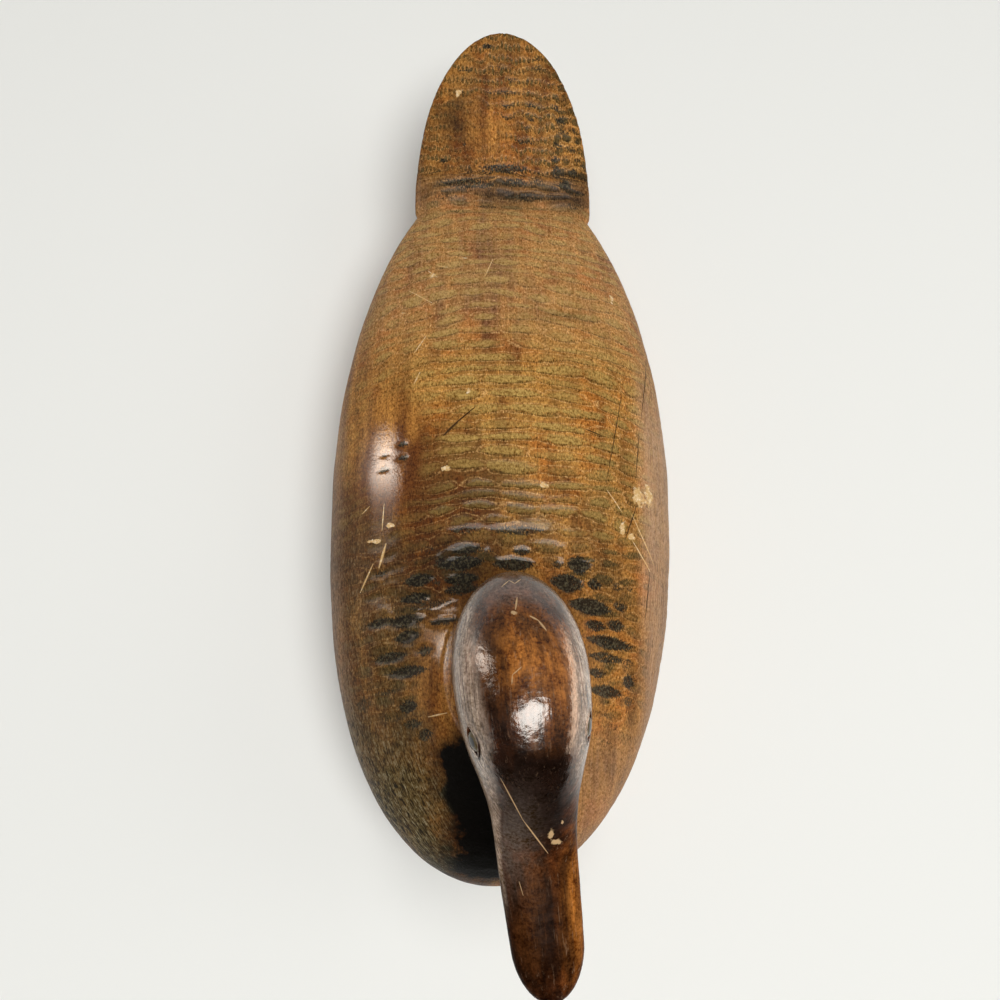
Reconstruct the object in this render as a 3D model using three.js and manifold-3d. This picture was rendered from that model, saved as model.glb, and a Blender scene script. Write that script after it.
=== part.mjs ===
// A working duck decoy carved from solid wood, at its real size, in millimetres.
// The body and paddle tail are one block with a flat underside. The head, neck and bill are a
// second block that sits on a raised, flattened neck seat, and two glass eyes are let into it.
// +Z is up, the bill points to -Y and the tail to +Y. The origin is on the surface that the
// decoy stands on, midway between the tip of the bill and the tip of the tail.

import * as THREE from 'three';
import { mergeVertices } from 'three/addons/utils/BufferGeometryUtils.js';
import Module from 'manifold-3d';

const wasm = await Module();
wasm.setup();

// Driving dimensions
const length = 380; // tip of the bill to tip of the tail
const bodyWidth = 144.6;
const seatHeight = 87; // the flat that the neck stands on
const fitGap = 0.3; // between pieces that touch

// Body: places along Y
const tailTip = length / 2;
const breast = -166;
const widest = -9;
const stern = 136; // where the body's own outline would close, inside the tail
const rumpEnd = 128; // where its back would reach the widest line
const bow = { deep: 2.3, over: 170, y: 20 }; // the block bends very slightly, bulging to +X at y

// Body: heights above and below the widest line, and how full each curve is
const sheerLow = 38; // height of the widest line, from the breast to midships
const sheerRise = 38; // how much higher it is at the tip of the tail
const sheerPower = 1.9;
const backRise = 46;
const bellyDrop = 46;
const sternDrop = 48;
const outlinePower = { fore: 2.56, aft: 1.92 };
const backPower = { fore: 4, aft: 2.1 };
const bellyPower = { fore: 3.5, aft: 5 };
const sectionPower = { above: 2.2, below: 2.5, tail: 2.6 };

// Neck seat: a soft swelling on the back, cut off flat by the seat's height
const seatY = -88;
const seatSwell = 9.5;
const seatHalf = { x: 32, y: 40 };

// Tail paddle
const tailRoot = 117; // where it is widest
const tailHalfWidth = 38.7;
const tailOutlinePower = 2.15;
const tailCorner = 12; // how far ahead of the root its corners round off
const tailThick = { tip: 2.2, above: 4.3, below: 6.5 };

// Head, in its own frame: s runs from the back of the skull to the tip of the bill
const neckY = -84;
const skullY = -50; // back of the skull before the head is turned
const headTurn = THREE.MathUtils.degToRad(7); // the bill turns to the decoy's left
const neckToSkull = skullY - neckY;
const neckToTip = (neckY + length / 2) / Math.cos(headTurn);
const headLength = neckToSkull + neckToTip;
const skullDome = 34;
const billDome = 19;
const headPower = { above: 2.1, below: 2.3 };
const headRows = [
  { s: 0, half: 22.3, top: 144, level: 128, bottom: 106 },
  { s: skullDome, half: 22.3, top: 150.6, level: 128, bottom: 106 },
  { s: 44, half: 21.8, top: 152, level: 127.6, bottom: 104.6 },
  { s: 56, half: 19.8, top: 150.3, level: 126.5, bottom: 102.8 },
  { s: 66, half: 16.8, top: 144.7, level: 124, bottom: 102 },
  { s: 76, half: 14.6, top: 135.3, level: 119, bottom: 102.5 },
  { s: 86, half: 13.8, top: 123.8, level: 113.5, bottom: 103 },
  { s: 98, half: 13.5, top: 115.5, level: 109.5, bottom: 102 },
  { s: headLength - billDome, half: 12.4, top: 113.5, level: 107.5, bottom: 101 },
  { s: headLength, half: 11.6, top: 111, level: 105, bottom: 100.5 },
];
const neckRows = [
  { z: seatHeight + fitGap, y: -83, long: 28, half: 21.5 },
  { z: 92, y: -82.5, long: 26, half: 19.6 },
  { z: 99, y: -82, long: 25.5, half: 18.4 },
  { z: 107, y: -81.5, long: 26.5, half: 18.4 },
  { z: 115, y: -81, long: 28.5, half: 19 },
  { z: 122, y: -81, long: 29.5, half: 19.5 },
  { z: 134, y: -82, long: 26, half: 18.5 },
];

// Eyes
const eyeRadius = 3.9;
const eyeDepth = 3.4;
const eyeDome = 1.6;
const eyePlace = { s: 52.3, z: 138.6 };
const eyeFacing = { forward: 0.2, up: 0.42 };
const eyeProud = 0.6; // how far the dome stands out of the wood

const bodySteps = { around: 44, fore: 19, mid: 17, tail: 17 };
const headSteps = { around: 28, along: 40 };
const neckSteps = { around: 28, up: 9 };
const eyeSides = 24;

const finish = (color, roughness) => new THREE.MeshStandardMaterial({ color, roughness, metalness: 0 });
const bodyWood = finish(0x8c5a2a, 0.42);
const headWood = finish(0x43240f, 0.3);
const eyeGlass = finish(0x2b2410, 0.08);

const clamp01 = (t) => Math.min(1, Math.max(0, t));

// What is left, from 1 to 0, of a curve that closes at reach, at distance d along it.
function share(d, reach, power) {
  return clamp01(1 - clamp01(d / reach) ** power);
}

// Distance from the centre to a superellipse in the direction of angle.
function rayToSection(half, rise, power, angle) {
  const across = (Math.abs(Math.cos(angle)) / Math.max(half, 1e-6)) ** power;
  const upward = (Math.abs(Math.sin(angle)) / Math.max(rise, 1e-6)) ** power;
  return (across + upward) ** (-1 / power);
}

// A smooth curve of rows' key against their at, which never overshoots them.
function throughRows(rows, at, key, x) {
  const above = rows.findIndex((row) => row[at] > x);
  const from = above < 0 ? rows.length - 2 : Math.max(0, above - 1);
  const step = (n) => rows[n + 1][at] - rows[n][at];
  const slope = (n) => (rows[n + 1][key] - rows[n][key]) / step(n);
  const tangent = (n) => {
    if (n === 0) return slope(0);
    if (n === rows.length - 1) return slope(n - 1);
    if (slope(n - 1) * slope(n) <= 0) return 0;
    const before = 2 * step(n) + step(n - 1);
    const after = step(n) + 2 * step(n - 1);
    return (before + after) / (before / slope(n - 1) + after / slope(n));
  };
  const t = (x - rows[from][at]) / step(from);
  const blend = t * t * (3 - 2 * t);
  const bend = t * (1 - t) * ((1 - t) * tangent(from) - t * tangent(from + 1));
  return rows[from][key] * (1 - blend) + rows[from + 1][key] * blend + bend * step(from);
}

function sheer(y) {
  return sheerLow + sheerRise * (Math.max(y, 0) / tailTip) ** sheerPower;
}

function bodySection(y, angle) {
  const up = Math.sin(angle) >= 0;
  if (y < widest) {
    const d = widest - y;
    const reach = widest - breast;
    const half = (bodyWidth / 2) * Math.sqrt(share(d, reach, outlinePower.fore));
    const rise = up
      ? backRise * Math.sqrt(share(d, reach, backPower.fore))
      : bellyDrop * Math.sqrt(share(d, reach, bellyPower.fore));
    return rayToSection(half, rise, up ? sectionPower.above : sectionPower.below, angle);
  }
  const d = y - widest;
  const half = (bodyWidth / 2) * Math.sqrt(share(d, stern - widest, outlinePower.aft));
  const rise = up
    ? backRise * share(d, rumpEnd - widest, backPower.aft)
    : sternDrop * Math.sqrt(share(d, rumpEnd - widest, bellyPower.aft));
  return rayToSection(half, rise, up ? sectionPower.above : sectionPower.below, angle);
}

function tailSection(y, angle) {
  if (y < tailRoot - tailCorner) return 0;
  const out = clamp01((y - tailRoot) / (tailTip - tailRoot));
  const corner = clamp01((tailRoot - y) / tailCorner);
  const round = Math.sqrt(clamp01(1 - out ** tailOutlinePower));
  const half = tailHalfWidth * round * Math.sqrt(1 - corner ** 2);
  const side = Math.sin(angle) >= 0 ? tailThick.above : tailThick.below;
  const rise = (tailThick.tip + side * (1 - out)) * Math.sqrt(round);
  return rayToSection(half, rise, sectionPower.tail, angle);
}

function bowed(y) {
  return -bow.deep * ((y - bow.y) / bow.over) ** 2;
}

function bodyPoint(y, angle) {
  let reach = Math.max(bodySection(y, angle), tailSection(y, angle));
  const near = ((reach * Math.cos(angle)) / seatHalf.x) ** 2 + ((y - seatY) / seatHalf.y) ** 2;
  reach += seatSwell * Math.exp(-(near ** 2)) * clamp01(Math.sin(angle));
  const z = sheer(y) + reach * Math.sin(angle);
  return new THREE.Vector3(bowed(y) + reach * Math.cos(angle), y, Math.min(seatHeight, Math.max(0, z)));
}

function headPoint(s, angle) {
  const row = (key) => throughRows(headRows, 's', key, s);
  const back = clamp01((skullDome - s) / skullDome);
  const front = clamp01((s - headLength + billDome) / billDome);
  const dome = Math.sqrt(clamp01(1 - back ** 2)) * Math.sqrt(clamp01(1 - front ** 2));
  const up = Math.sin(angle) >= 0;
  const rise = up ? row('top') - row('level') : row('level') - row('bottom');
  const reach = rayToSection(row('half') * dome, rise * dome, up ? headPower.above : headPower.below, angle);
  return new THREE.Vector3(reach * Math.cos(angle), skullY - s, row('level') + reach * Math.sin(angle));
}

// Wraps a unit sphere, whose poles are on the Y axis, on a form given by place(t, angle):
// t runs from 0 at the -Y pole to 1 at the +Y pole.
function wrapSphere(around, along, place) {
  const sphere = new THREE.SphereGeometry(1, around, along);
  const points = sphere.attributes.position;
  const point = new THREE.Vector3();
  for (let i = 0; i < points.count; i += 1) {
    point.fromBufferAttribute(points, i);
    const t = 1 - Math.acos(THREE.MathUtils.clamp(point.y, -1, 1)) / Math.PI;
    const pole = t < 1e-6 || t > 1 - 1e-6;
    const placed = place(t, pole ? 0 : Math.atan2(point.z, point.x));
    points.setXYZ(i, placed.x, placed.y, placed.z);
  }
  return sphere;
}

// Stations run close together at the breast, at the crease ahead of the tail and at its tip.
function bodyStation(t) {
  const step = t * (bodySteps.fore + bodySteps.mid + bodySteps.tail);
  if (step <= bodySteps.fore) {
    return breast + (widest - breast) * (1 - Math.cos((step / bodySteps.fore) * (Math.PI / 2)));
  }
  const mid = step - bodySteps.fore;
  if (mid <= bodySteps.mid) {
    return widest + (tailRoot - widest) * Math.sin((mid / bodySteps.mid) * (Math.PI / 2));
  }
  const out = (mid - bodySteps.mid) / bodySteps.tail;
  return tailRoot + ((tailTip - tailRoot) * (1 - Math.cos(out * Math.PI))) / 2;
}

function makeBody() {
  const along = bodySteps.fore + bodySteps.mid + bodySteps.tail;
  return wrapSphere(bodySteps.around, along, (t, angle) => bodyPoint(bodyStation(t), angle));
}

function makeSkullAndBill() {
  return wrapSphere(headSteps.around, headSteps.along, (t, angle) => {
    const s = (headLength * (1 + Math.cos(t * Math.PI))) / 2;
    return headPoint(s, angle);
  });
}

function makeNeck() {
  const foot = neckRows[0].z;
  const rise = neckRows.at(-1).z - foot;
  const neck = new THREE.CylinderGeometry(1, 1, 1, neckSteps.around, neckSteps.up);
  neck.rotateX(Math.PI / 2);
  const points = neck.attributes.position;
  for (let i = 0; i < points.count; i += 1) {
    const z = foot + rise * (points.getZ(i) + 0.5);
    const row = (key) => throughRows(neckRows, 'z', key, z);
    points.setXYZ(i, points.getX(i) * row('half'), row('y') + points.getY(i) * row('long'), z);
  }
  return neck;
}

// An eye before it is placed: its rim is at the origin and its dome faces +Z.
function makeEye(grown) {
  const radius = eyeRadius + grown;
  const dome = new THREE.QuadraticBezierCurve(
    new THREE.Vector2(radius, 0),
    new THREE.Vector2(radius * 0.78, eyeDome),
    new THREE.Vector2(0, eyeDome),
  );
  const profile = [new THREE.Vector2(0, -eyeDepth - grown), new THREE.Vector2(radius, -eyeDepth - grown)];
  profile.push(...dome.getPoints(6));
  profile.at(-1).x = 0;
  return new THREE.LatheGeometry(profile, eyeSides).rotateX(Math.PI / 2);
}

// Turns and moves an eye to where it looks out of the skull: side is 1 or -1.
function eyeMatrix(side) {
  const row = (key) => throughRows(headRows, 's', key, eyePlace.s);
  const height = (eyePlace.z - row('level')) / (row('top') - row('level'));
  const across = row('half') * (1 - height ** headPower.above) ** (1 / headPower.above);
  const facing = new THREE.Vector3(side, -eyeFacing.forward, eyeFacing.up).normalize();
  const turn = new THREE.Quaternion().setFromUnitVectors(new THREE.Vector3(0, 0, 1), facing);
  const skin = new THREE.Vector3(across * side, skullY - eyePlace.s, eyePlace.z);
  const rim = skin.addScaledVector(facing, eyeProud - eyeDome);
  return new THREE.Matrix4().compose(rim, turn, new THREE.Vector3(1, 1, 1));
}

function merged(geometry) {
  geometry.deleteAttribute('normal');
  geometry.deleteAttribute('uv');
  return mergeVertices(geometry, 1e-4);
}

function toSolid(geometry) {
  const closed = merged(geometry);
  const vertProperties = new Float32Array(closed.attributes.position.array);
  const triVerts = new Uint32Array(closed.index.array);
  const mesh = new wasm.Mesh({ numProp: 3, vertProperties, triVerts });
  mesh.merge();
  return new wasm.Manifold(mesh);
}

function toGeometry(solid) {
  const { vertProperties, triVerts } = solid.getMesh();
  const geometry = new THREE.BufferGeometry();
  geometry.setAttribute('position', new THREE.BufferAttribute(vertProperties, 3));
  geometry.setIndex(new THREE.BufferAttribute(triVerts, 1));
  return geometry;
}

function makeHead() {
  let head = toSolid(makeSkullAndBill()).add(toSolid(makeNeck()));
  for (const side of [1, -1]) {
    const socket = toSolid(makeEye(fitGap).applyMatrix4(eyeMatrix(side)));
    head = head.subtract(socket);
  }
  return toGeometry(head);
}

function piece(name, geometry, material) {
  const mesh = new THREE.Mesh(geometry, material);
  mesh.geometry.computeVertexNormals();
  mesh.name = name;
  return mesh;
}

// The head and its eyes turn together about the middle of the neck.
const head = new THREE.Group();
head.position.set(bowed(neckY), neckY, 0);
head.rotation.z = headTurn;
const headParts = new THREE.Group();
headParts.position.y = -neckY;
head.add(headParts);
headParts.add(piece('head', makeHead(), headWood));
for (const [name, side] of [['eye_left', 1], ['eye_right', -1]]) {
  headParts.add(piece(name, merged(makeEye(0).applyMatrix4(eyeMatrix(side))), eyeGlass));
}

const decoy = new THREE.Group();
decoy.add(piece('body', merged(makeBody()), bodyWood));
decoy.add(head);

export default decoy;
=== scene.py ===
import math

import bmesh
import bpy
import numpy as np
from mathutils import Matrix, Vector


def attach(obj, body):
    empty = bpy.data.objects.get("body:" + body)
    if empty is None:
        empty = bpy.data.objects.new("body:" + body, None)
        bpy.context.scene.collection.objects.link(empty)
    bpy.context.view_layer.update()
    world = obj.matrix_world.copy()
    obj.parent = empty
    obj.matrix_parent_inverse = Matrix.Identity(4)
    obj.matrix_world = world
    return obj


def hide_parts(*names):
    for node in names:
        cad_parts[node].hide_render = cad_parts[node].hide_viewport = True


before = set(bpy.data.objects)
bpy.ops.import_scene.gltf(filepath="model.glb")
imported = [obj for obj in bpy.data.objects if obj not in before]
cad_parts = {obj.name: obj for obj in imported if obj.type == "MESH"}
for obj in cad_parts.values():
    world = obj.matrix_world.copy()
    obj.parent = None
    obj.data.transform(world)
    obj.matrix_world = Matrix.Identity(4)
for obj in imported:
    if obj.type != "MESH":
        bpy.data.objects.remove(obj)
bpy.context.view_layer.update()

scene = bpy.context.scene

# Camera
# It looks down on the decoy from above the breast, a little to the decoy's right, so that the
# tail is at the top of the picture and the bill comes towards the viewer.
CAMERA_PLACE = Vector((-0.0323, -0.0871, 0.4405))
CAMERA_PITCH, CAMERA_TURN, CAMERA_ROLL = math.radians(11.0), math.radians(-4.5), math.radians(0.1)
FOCAL_PIXELS, PICTURE_PIXELS, SENSOR_MM = 950, 1000, 36

lens = bpy.data.cameras.new("camera")
lens.sensor_width = SENSOR_MM
lens.lens = SENSOR_MM * FOCAL_PIXELS / PICTURE_PIXELS
lens.clip_start = 0.01
camera = bpy.data.objects.new("camera", lens)
scene.collection.objects.link(camera)
turn = Matrix.Rotation(CAMERA_TURN, 4, "Y")
pitch = Matrix.Rotation(CAMERA_PITCH, 4, "X")
roll = Matrix.Rotation(CAMERA_ROLL, 4, "Z")
camera.matrix_world = Matrix.Translation(CAMERA_PLACE) @ turn @ pitch @ roll
scene.camera = camera

# Body
# Breast, back, neck seat and paddle tail are one block of softwood, rounded with a drawknife and
# rasp. The back and tail are then textured with rows of short gouge cuts, stained brown and
# varnished, and handling has rubbed the varnish and darkened the cuts near the head.
TAIL_TIP, BREAST, WIDEST = 0.190, -0.166, -0.009
STERN, RUMP_END = 0.136, 0.128
BODY_WIDTH, SEAT_HEIGHT = 0.1446, 0.087
BOW_DEEP, BOW_OVER, BOW_Y = 0.0023, 0.170, 0.020
SHEER_LOW, SHEER_RISE, SHEER_POWER = 0.038, 0.038, 1.9
BACK_RISE, BELLY_DROP, STERN_DROP = 0.046, 0.046, 0.048
SEAT_Y, SEAT_SWELL, SEAT_HALF_X, SEAT_HALF_Y = -0.088, 0.0095, 0.032, 0.040
TAIL_ROOT, TAIL_HALF, TAIL_CORNER = 0.117, 0.0387, 0.012
TAIL_TIP_THICK, TAIL_ABOVE, TAIL_BELOW = 0.0022, 0.0043, 0.0065
STATIONS, TOP_COLUMNS, UNDER_COLUMNS = 410, 204, 34
TOP_EDGE = math.radians(-25)  # the fine columns reach this far below the widest line
ROW_PITCH, ROW_PITCH_AT_NECK, ROW_PITCH_ON_TAIL = 0.0058, 0.0064, 0.0048
LONG_CUT, CUT_LENGTH, TICK_LENGTH, SQUARE_CUT = 0.0240, 0.0115, 0.0019, 0.0052
CUT_DEPTH = 0.00060
ROWS_ARCHED, NECK_CUT_DEPTH, TAIL_CUT_DEPTH = 1.9, 0.0007, 0.0003
NECK_CUTS = [
    # place, half length, half height and how dark, for the deep cuts round the neck
    (-0.0495, 0.0020, 0.0017, 0.0011, 0.75),
    (-0.0495, -0.0040, 0.0021, 0.0012, 0.85),
    (-0.0423, 0.0056, 0.0020, 0.0012, 0.80),
    (-0.0420, 0.0000, 0.0022, 0.0012, 0.80),
    (-0.0171, -0.0291, 0.0068, 0.0015, 0.60),
    (0.0027, -0.0291, 0.0105, 0.0019, 0.65),
    (-0.0171, -0.0366, 0.0056, 0.0019, 0.90),
    (-0.0322, -0.0367, 0.0030, 0.0015, 0.50),
    (0.0041, -0.0373, 0.0034, 0.0015, 0.80),
    (-0.0088, -0.0374, 0.0022, 0.0011, 0.50),
    (-0.0193, -0.0420, 0.0083, 0.0026, 1.00),
    (0.0010, -0.0424, 0.0075, 0.0026, 0.85),
    (0.0268, -0.0420, 0.0045, 0.0034, 0.90),
    (0.0180, -0.0419, 0.0023, 0.0019, 0.60),
    (-0.0350, -0.0481, 0.0053, 0.0023, 1.00),
    (-0.0189, -0.0481, 0.0060, 0.0022, 1.00),
    (-0.0193, -0.0519, 0.0060, 0.0022, 0.80),
    (0.0218, -0.0491, 0.0064, 0.0034, 0.90),
    (0.0330, -0.0492, 0.0030, 0.0023, 0.80),
    (0.0425, -0.0497, 0.0027, 0.0019, 0.50),
    (0.0487, -0.0505, 0.0023, 0.0015, 0.45),
    (0.0309, -0.0578, 0.0083, 0.0030, 1.00),
    (0.0441, -0.0574, 0.0031, 0.0019, 0.70),
    (0.0332, -0.0649, 0.0042, 0.0021, 0.85),
    (0.0418, -0.0646, 0.0035, 0.0023, 0.80),
    (0.0391, -0.0713, 0.0096, 0.0023, 0.90),
    (0.0373, -0.0770, 0.0076, 0.0019, 0.75),
    (0.0471, -0.0791, 0.0027, 0.0019, 0.50),
    (0.0333, -0.0827, 0.0038, 0.0019, 0.75),
    (0.0476, -0.0860, 0.0027, 0.0027, 0.85),
    (0.0373, -0.0897, 0.0069, 0.0023, 0.85),
    (0.0472, -0.0936, 0.0023, 0.0020, 0.50),
    (0.0383, -0.0985, 0.0046, 0.0015, 0.40),
    (0.0402, -0.1029, 0.0039, 0.0016, 0.35),
    (0.0378, -0.1092, 0.0035, 0.0016, 0.35),
    (-0.0497, -0.0453, 0.0023, 0.0015, 0.70),
    (-0.0368, -0.0549, 0.0057, 0.0017, 1.00),
    (-0.0304, -0.0577, 0.0091, 0.0019, 0.55),
    (-0.0495, -0.0640, 0.0054, 0.0019, 0.80),
    (-0.0400, -0.0635, 0.0065, 0.0023, 0.90),
    (-0.0258, -0.0639, 0.0056, 0.0013, 0.80),
    (-0.0392, -0.0695, 0.0046, 0.0023, 0.95),
    (-0.0455, -0.0772, 0.0062, 0.0021, 0.85),
    (-0.0323, -0.0748, 0.0030, 0.0019, 0.70),
    (-0.0389, -0.0825, 0.0069, 0.0023, 0.85),
    (-0.0468, -0.0902, 0.0050, 0.0012, 0.55),
    (-0.0383, -0.0953, 0.0034, 0.0023, 0.90),
    (-0.0363, -0.1015, 0.0034, 0.0019, 0.70),
    (-0.0318, -0.1053, 0.0027, 0.0023, 0.70),
    (-0.0554, -0.0945, 0.0032, 0.0032, 0.50),
    (-0.0424, -0.0994, 0.0031, 0.0019, 0.40),
    (-0.0477, -0.1003, 0.0035, 0.0020, 0.35),
    (-0.0268, -0.0407, 0.0019, 0.0019, 0.60),
    (-0.0282, -0.0494, 0.0019, 0.0015, 0.50),
]

TAIL_CUTS = [
    # the same for the dark cuts of the tail and of the crease before it
    (-0.0099, 0.1840, 0.0022, 0.0010, 0.90),
    (-0.0134, 0.1793, 0.0014, 0.0006, 0.50),
    (-0.0191, 0.1739, 0.0028, 0.0008, 0.80),
    (-0.0235, 0.1699, 0.0009, 0.0006, 0.50),
    (0.0018, 0.1708, 0.0026, 0.0009, 0.70),
    (-0.0035, 0.1756, 0.0055, 0.0008, 0.60),
    (0.0132, 0.1759, 0.0037, 0.0009, 0.60),
    (-0.0012, 0.1655, 0.0102, 0.0008, 0.60),
    (-0.0000, 0.1601, 0.0028, 0.0009, 0.80),
    (0.0104, 0.1607, 0.0026, 0.0008, 0.80),
    (0.0001, 0.1552, 0.0030, 0.0008, 0.70),
    (0.0105, 0.1550, 0.0023, 0.0010, 0.70),
    (0.0090, 0.1513, 0.0019, 0.0008, 0.70),
    (0.0086, 0.1454, 0.0042, 0.0012, 0.70),
    (-0.0123, 0.1505, 0.0028, 0.0006, 0.45),
    (-0.0188, 0.1431, 0.0010, 0.0008, 0.90),
    (-0.0275, 0.1365, 0.0015, 0.0009, 0.90),
    (-0.0006, 0.1339, 0.0106, 0.0019, 0.85),
    (-0.0170, 0.1268, 0.0124, 0.0022, 0.85),
    (0.0038, 0.1278, 0.0057, 0.0021, 0.80),
    (0.0132, 0.1285, 0.0038, 0.0024, 0.55),
    (0.0226, 0.1337, 0.0021, 0.0027, 0.85),
    (0.0219, 0.1388, 0.0019, 0.0016, 0.85),
    (0.0223, 0.1447, 0.0016, 0.0017, 0.85),
    (0.0238, 0.1554, 0.0019, 0.0023, 0.90),
    (0.0223, 0.1602, 0.0019, 0.0012, 0.85),
    (0.0246, 0.1506, 0.0023, 0.0012, 0.80),
    (0.0265, 0.1281, 0.0027, 0.0029, 0.90),
    (0.0315, 0.1252, 0.0040, 0.0014, 0.90),
    (0.0302, 0.1340, 0.0024, 0.0014, 0.85),
    (0.0344, 0.1372, 0.0011, 0.0014, 0.80),
    (0.0319, 0.1397, 0.0017, 0.0012, 0.80),
    (0.0292, 0.1434, 0.0017, 0.0012, 0.80),
    (0.0272, 0.1473, 0.0015, 0.0011, 0.75),
    (0.0300, 0.1516, 0.0014, 0.0012, 0.75),
    (0.0313, 0.1473, 0.0011, 0.0012, 0.75),
    (0.0131, 0.1801, 0.0024, 0.0012, 0.60),
    (0.0197, 0.1700, 0.0024, 0.0010, 0.50),
    (0.0279, 0.1562, 0.0013, 0.0013, 0.70),
    (0.0253, 0.1645, 0.0013, 0.0009, 0.60),
    (0.0315, 0.1196, 0.0056, 0.0013, 0.75),
    (0.0080, 0.1221, 0.0086, 0.0016, 0.70),
    (-0.0076, 0.1167, 0.0048, 0.0011, 0.60),
    (-0.0262, 0.1212, 0.0048, 0.0016, 0.55),
    (-0.0220, 0.1142, 0.0057, 0.0013, 0.40),
]

def share(distance, reach, power):
    """What is left, from 1 to 0, of a curve that closes at reach."""
    return np.clip(1 - np.clip(distance / reach, 0, 1) ** power, 0, 1)


def ray_to_section(half, rise, power, angle):
    """Distance from the centre to a superellipse in the direction of angle."""
    across = (np.abs(np.cos(angle)) / np.maximum(half, 1e-9)) ** power
    upward = (np.abs(np.sin(angle)) / np.maximum(rise, 1e-9)) ** power
    return (across + upward) ** (-1 / power)


def ease(value, low, high):
    """0 below low, 1 above high and smooth between; low may be the larger of the two."""
    t = np.clip((value - low) / (high - low), 0, 1)
    return t * t * (3 - 2 * t)


def bowed(y):
    return -BOW_DEEP * ((y - BOW_Y) / BOW_OVER) ** 2


def sheer(y):
    """Height of the widest line."""
    return SHEER_LOW + SHEER_RISE * (np.maximum(y, 0) / TAIL_TIP) ** SHEER_POWER


def body_reach(y, angle):
    """Distance from the widest line's height on the centre line to the wood."""
    fore, aft = WIDEST - y, y - WIDEST
    ahead, up = y < WIDEST, np.sin(angle) >= 0
    outline = np.where(ahead, share(fore, WIDEST - BREAST, 2.56), share(aft, STERN - WIDEST, 1.92))
    back = np.where(
        ahead,
        np.sqrt(share(fore, WIDEST - BREAST, 4)),
        share(aft, RUMP_END - WIDEST, 2.1),
    )
    belly = np.where(
        ahead,
        BELLY_DROP * np.sqrt(share(fore, WIDEST - BREAST, 3.5)),
        STERN_DROP * np.sqrt(share(aft, RUMP_END - WIDEST, 5)),
    )
    rise = np.where(up, BACK_RISE * back, belly)
    section = ray_to_section(BODY_WIDTH / 2 * np.sqrt(outline), rise, np.where(up, 2.2, 2.5), angle)
    out = np.clip((y - TAIL_ROOT) / (TAIL_TIP - TAIL_ROOT), 0, 1)
    corner = np.clip((TAIL_ROOT - y) / TAIL_CORNER, 0, 1)
    rounding = np.sqrt(np.clip(1 - out ** 2.15, 0, 1))
    half = TAIL_HALF * rounding * np.sqrt(1 - corner ** 2)
    thick = TAIL_TIP_THICK + np.where(up, TAIL_ABOVE, TAIL_BELOW) * (1 - out)
    tail = ray_to_section(half, thick * np.sqrt(rounding), 2.6, angle)
    reach = np.maximum(section, np.where(y > TAIL_ROOT - TAIL_CORNER, tail, 0))
    near = (reach * np.cos(angle) / SEAT_HALF_X) ** 2 + ((y - SEAT_Y) / SEAT_HALF_Y) ** 2
    return reach + SEAT_SWELL * np.exp(-(near ** 2)) * np.clip(np.sin(angle), 0, 1)


def equal_steps(values, path, count):
    """Values spaced so that the steps along path, an array of points, are equal."""
    steps = np.linalg.norm(np.diff(path, axis=0), axis=1)
    walked = np.concatenate([[0], np.cumsum(steps)])
    return np.interp(np.linspace(0, walked[-1], count), walked, values)


def skin(name, rings, layers=None):
    """A closed mesh over rings (stations x points x 3) whose first and last ring are single points.
    Layers are values for each station and point, kept as attributes of the mesh."""
    stations, columns = rings.shape[:2]
    inner = rings[1:-1].reshape(-1, 3)
    points = np.concatenate([inner, rings[0, :1], rings[-1, :1]])
    start, end = len(inner), len(inner) + 1
    index = np.arange(len(inner)).reshape(stations - 2, columns)
    after = np.roll(index, -1, axis=1)
    quads = np.stack([index[:-1], index[1:], after[1:], after[:-1]], axis=-1).reshape(-1, 4)
    caps = [(start, a, b) for a, b in zip(index[0], after[0])]
    caps += [(end, b, a) for a, b in zip(index[-1], after[-1])]
    mesh = bpy.data.meshes.new(name)
    mesh.from_pydata(points.tolist(), [], quads.tolist() + [tuple(map(int, cap)) for cap in caps])
    for key, layer in (layers or {}).items():
        flat = layer[1:-1].reshape(-1, *layer.shape[2:])
        ends = np.stack([layer[0].mean(axis=0), layer[-1].mean(axis=0)])
        kind, field = ("FLOAT_VECTOR", "vector") if layer.ndim == 3 else ("FLOAT", "value")
        stored = mesh.attributes.new(key, kind, "POINT")
        stored.data.foreach_set(field, np.concatenate([flat, ends]).astype(np.float32).ravel())
    mesh.shade_smooth()
    return mesh


def piece_of(name, mesh):
    piece = bpy.data.objects.new(name, mesh)
    scene.collection.objects.link(piece)
    return piece


def blot(x, y, centre_x, centre_y, half_x, half_y):
    """A soft oval patch seen from above: 1 at its centre."""
    return np.exp(-((x - centre_x) / half_x) ** 2 - ((y - centre_y) / half_y) ** 2)


trial = BREAST + (TAIL_TIP - BREAST) * (1 - np.cos(np.linspace(0, math.pi, 4000))) / 2
side = body_reach(trial, np.full_like(trial, 0.6))
station_y = equal_steps(trial, np.stack([side, trial], axis=1), STATIONS)
top = np.linspace(TOP_EDGE, math.pi - TOP_EDGE, TOP_COLUMNS, endpoint=False)
under = np.linspace(math.pi - TOP_EDGE, 2 * math.pi + TOP_EDGE, UNDER_COLUMNS, endpoint=False)
angle, y = np.meshgrid(np.concatenate([top, under]), station_y)
reach = body_reach(y, angle)
reach[[0, -1]] = 0
x = bowed(y) + reach * np.cos(angle)
z = np.clip(sheer(y) + reach * np.sin(angle), 0, SEAT_HEIGHT)

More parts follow.
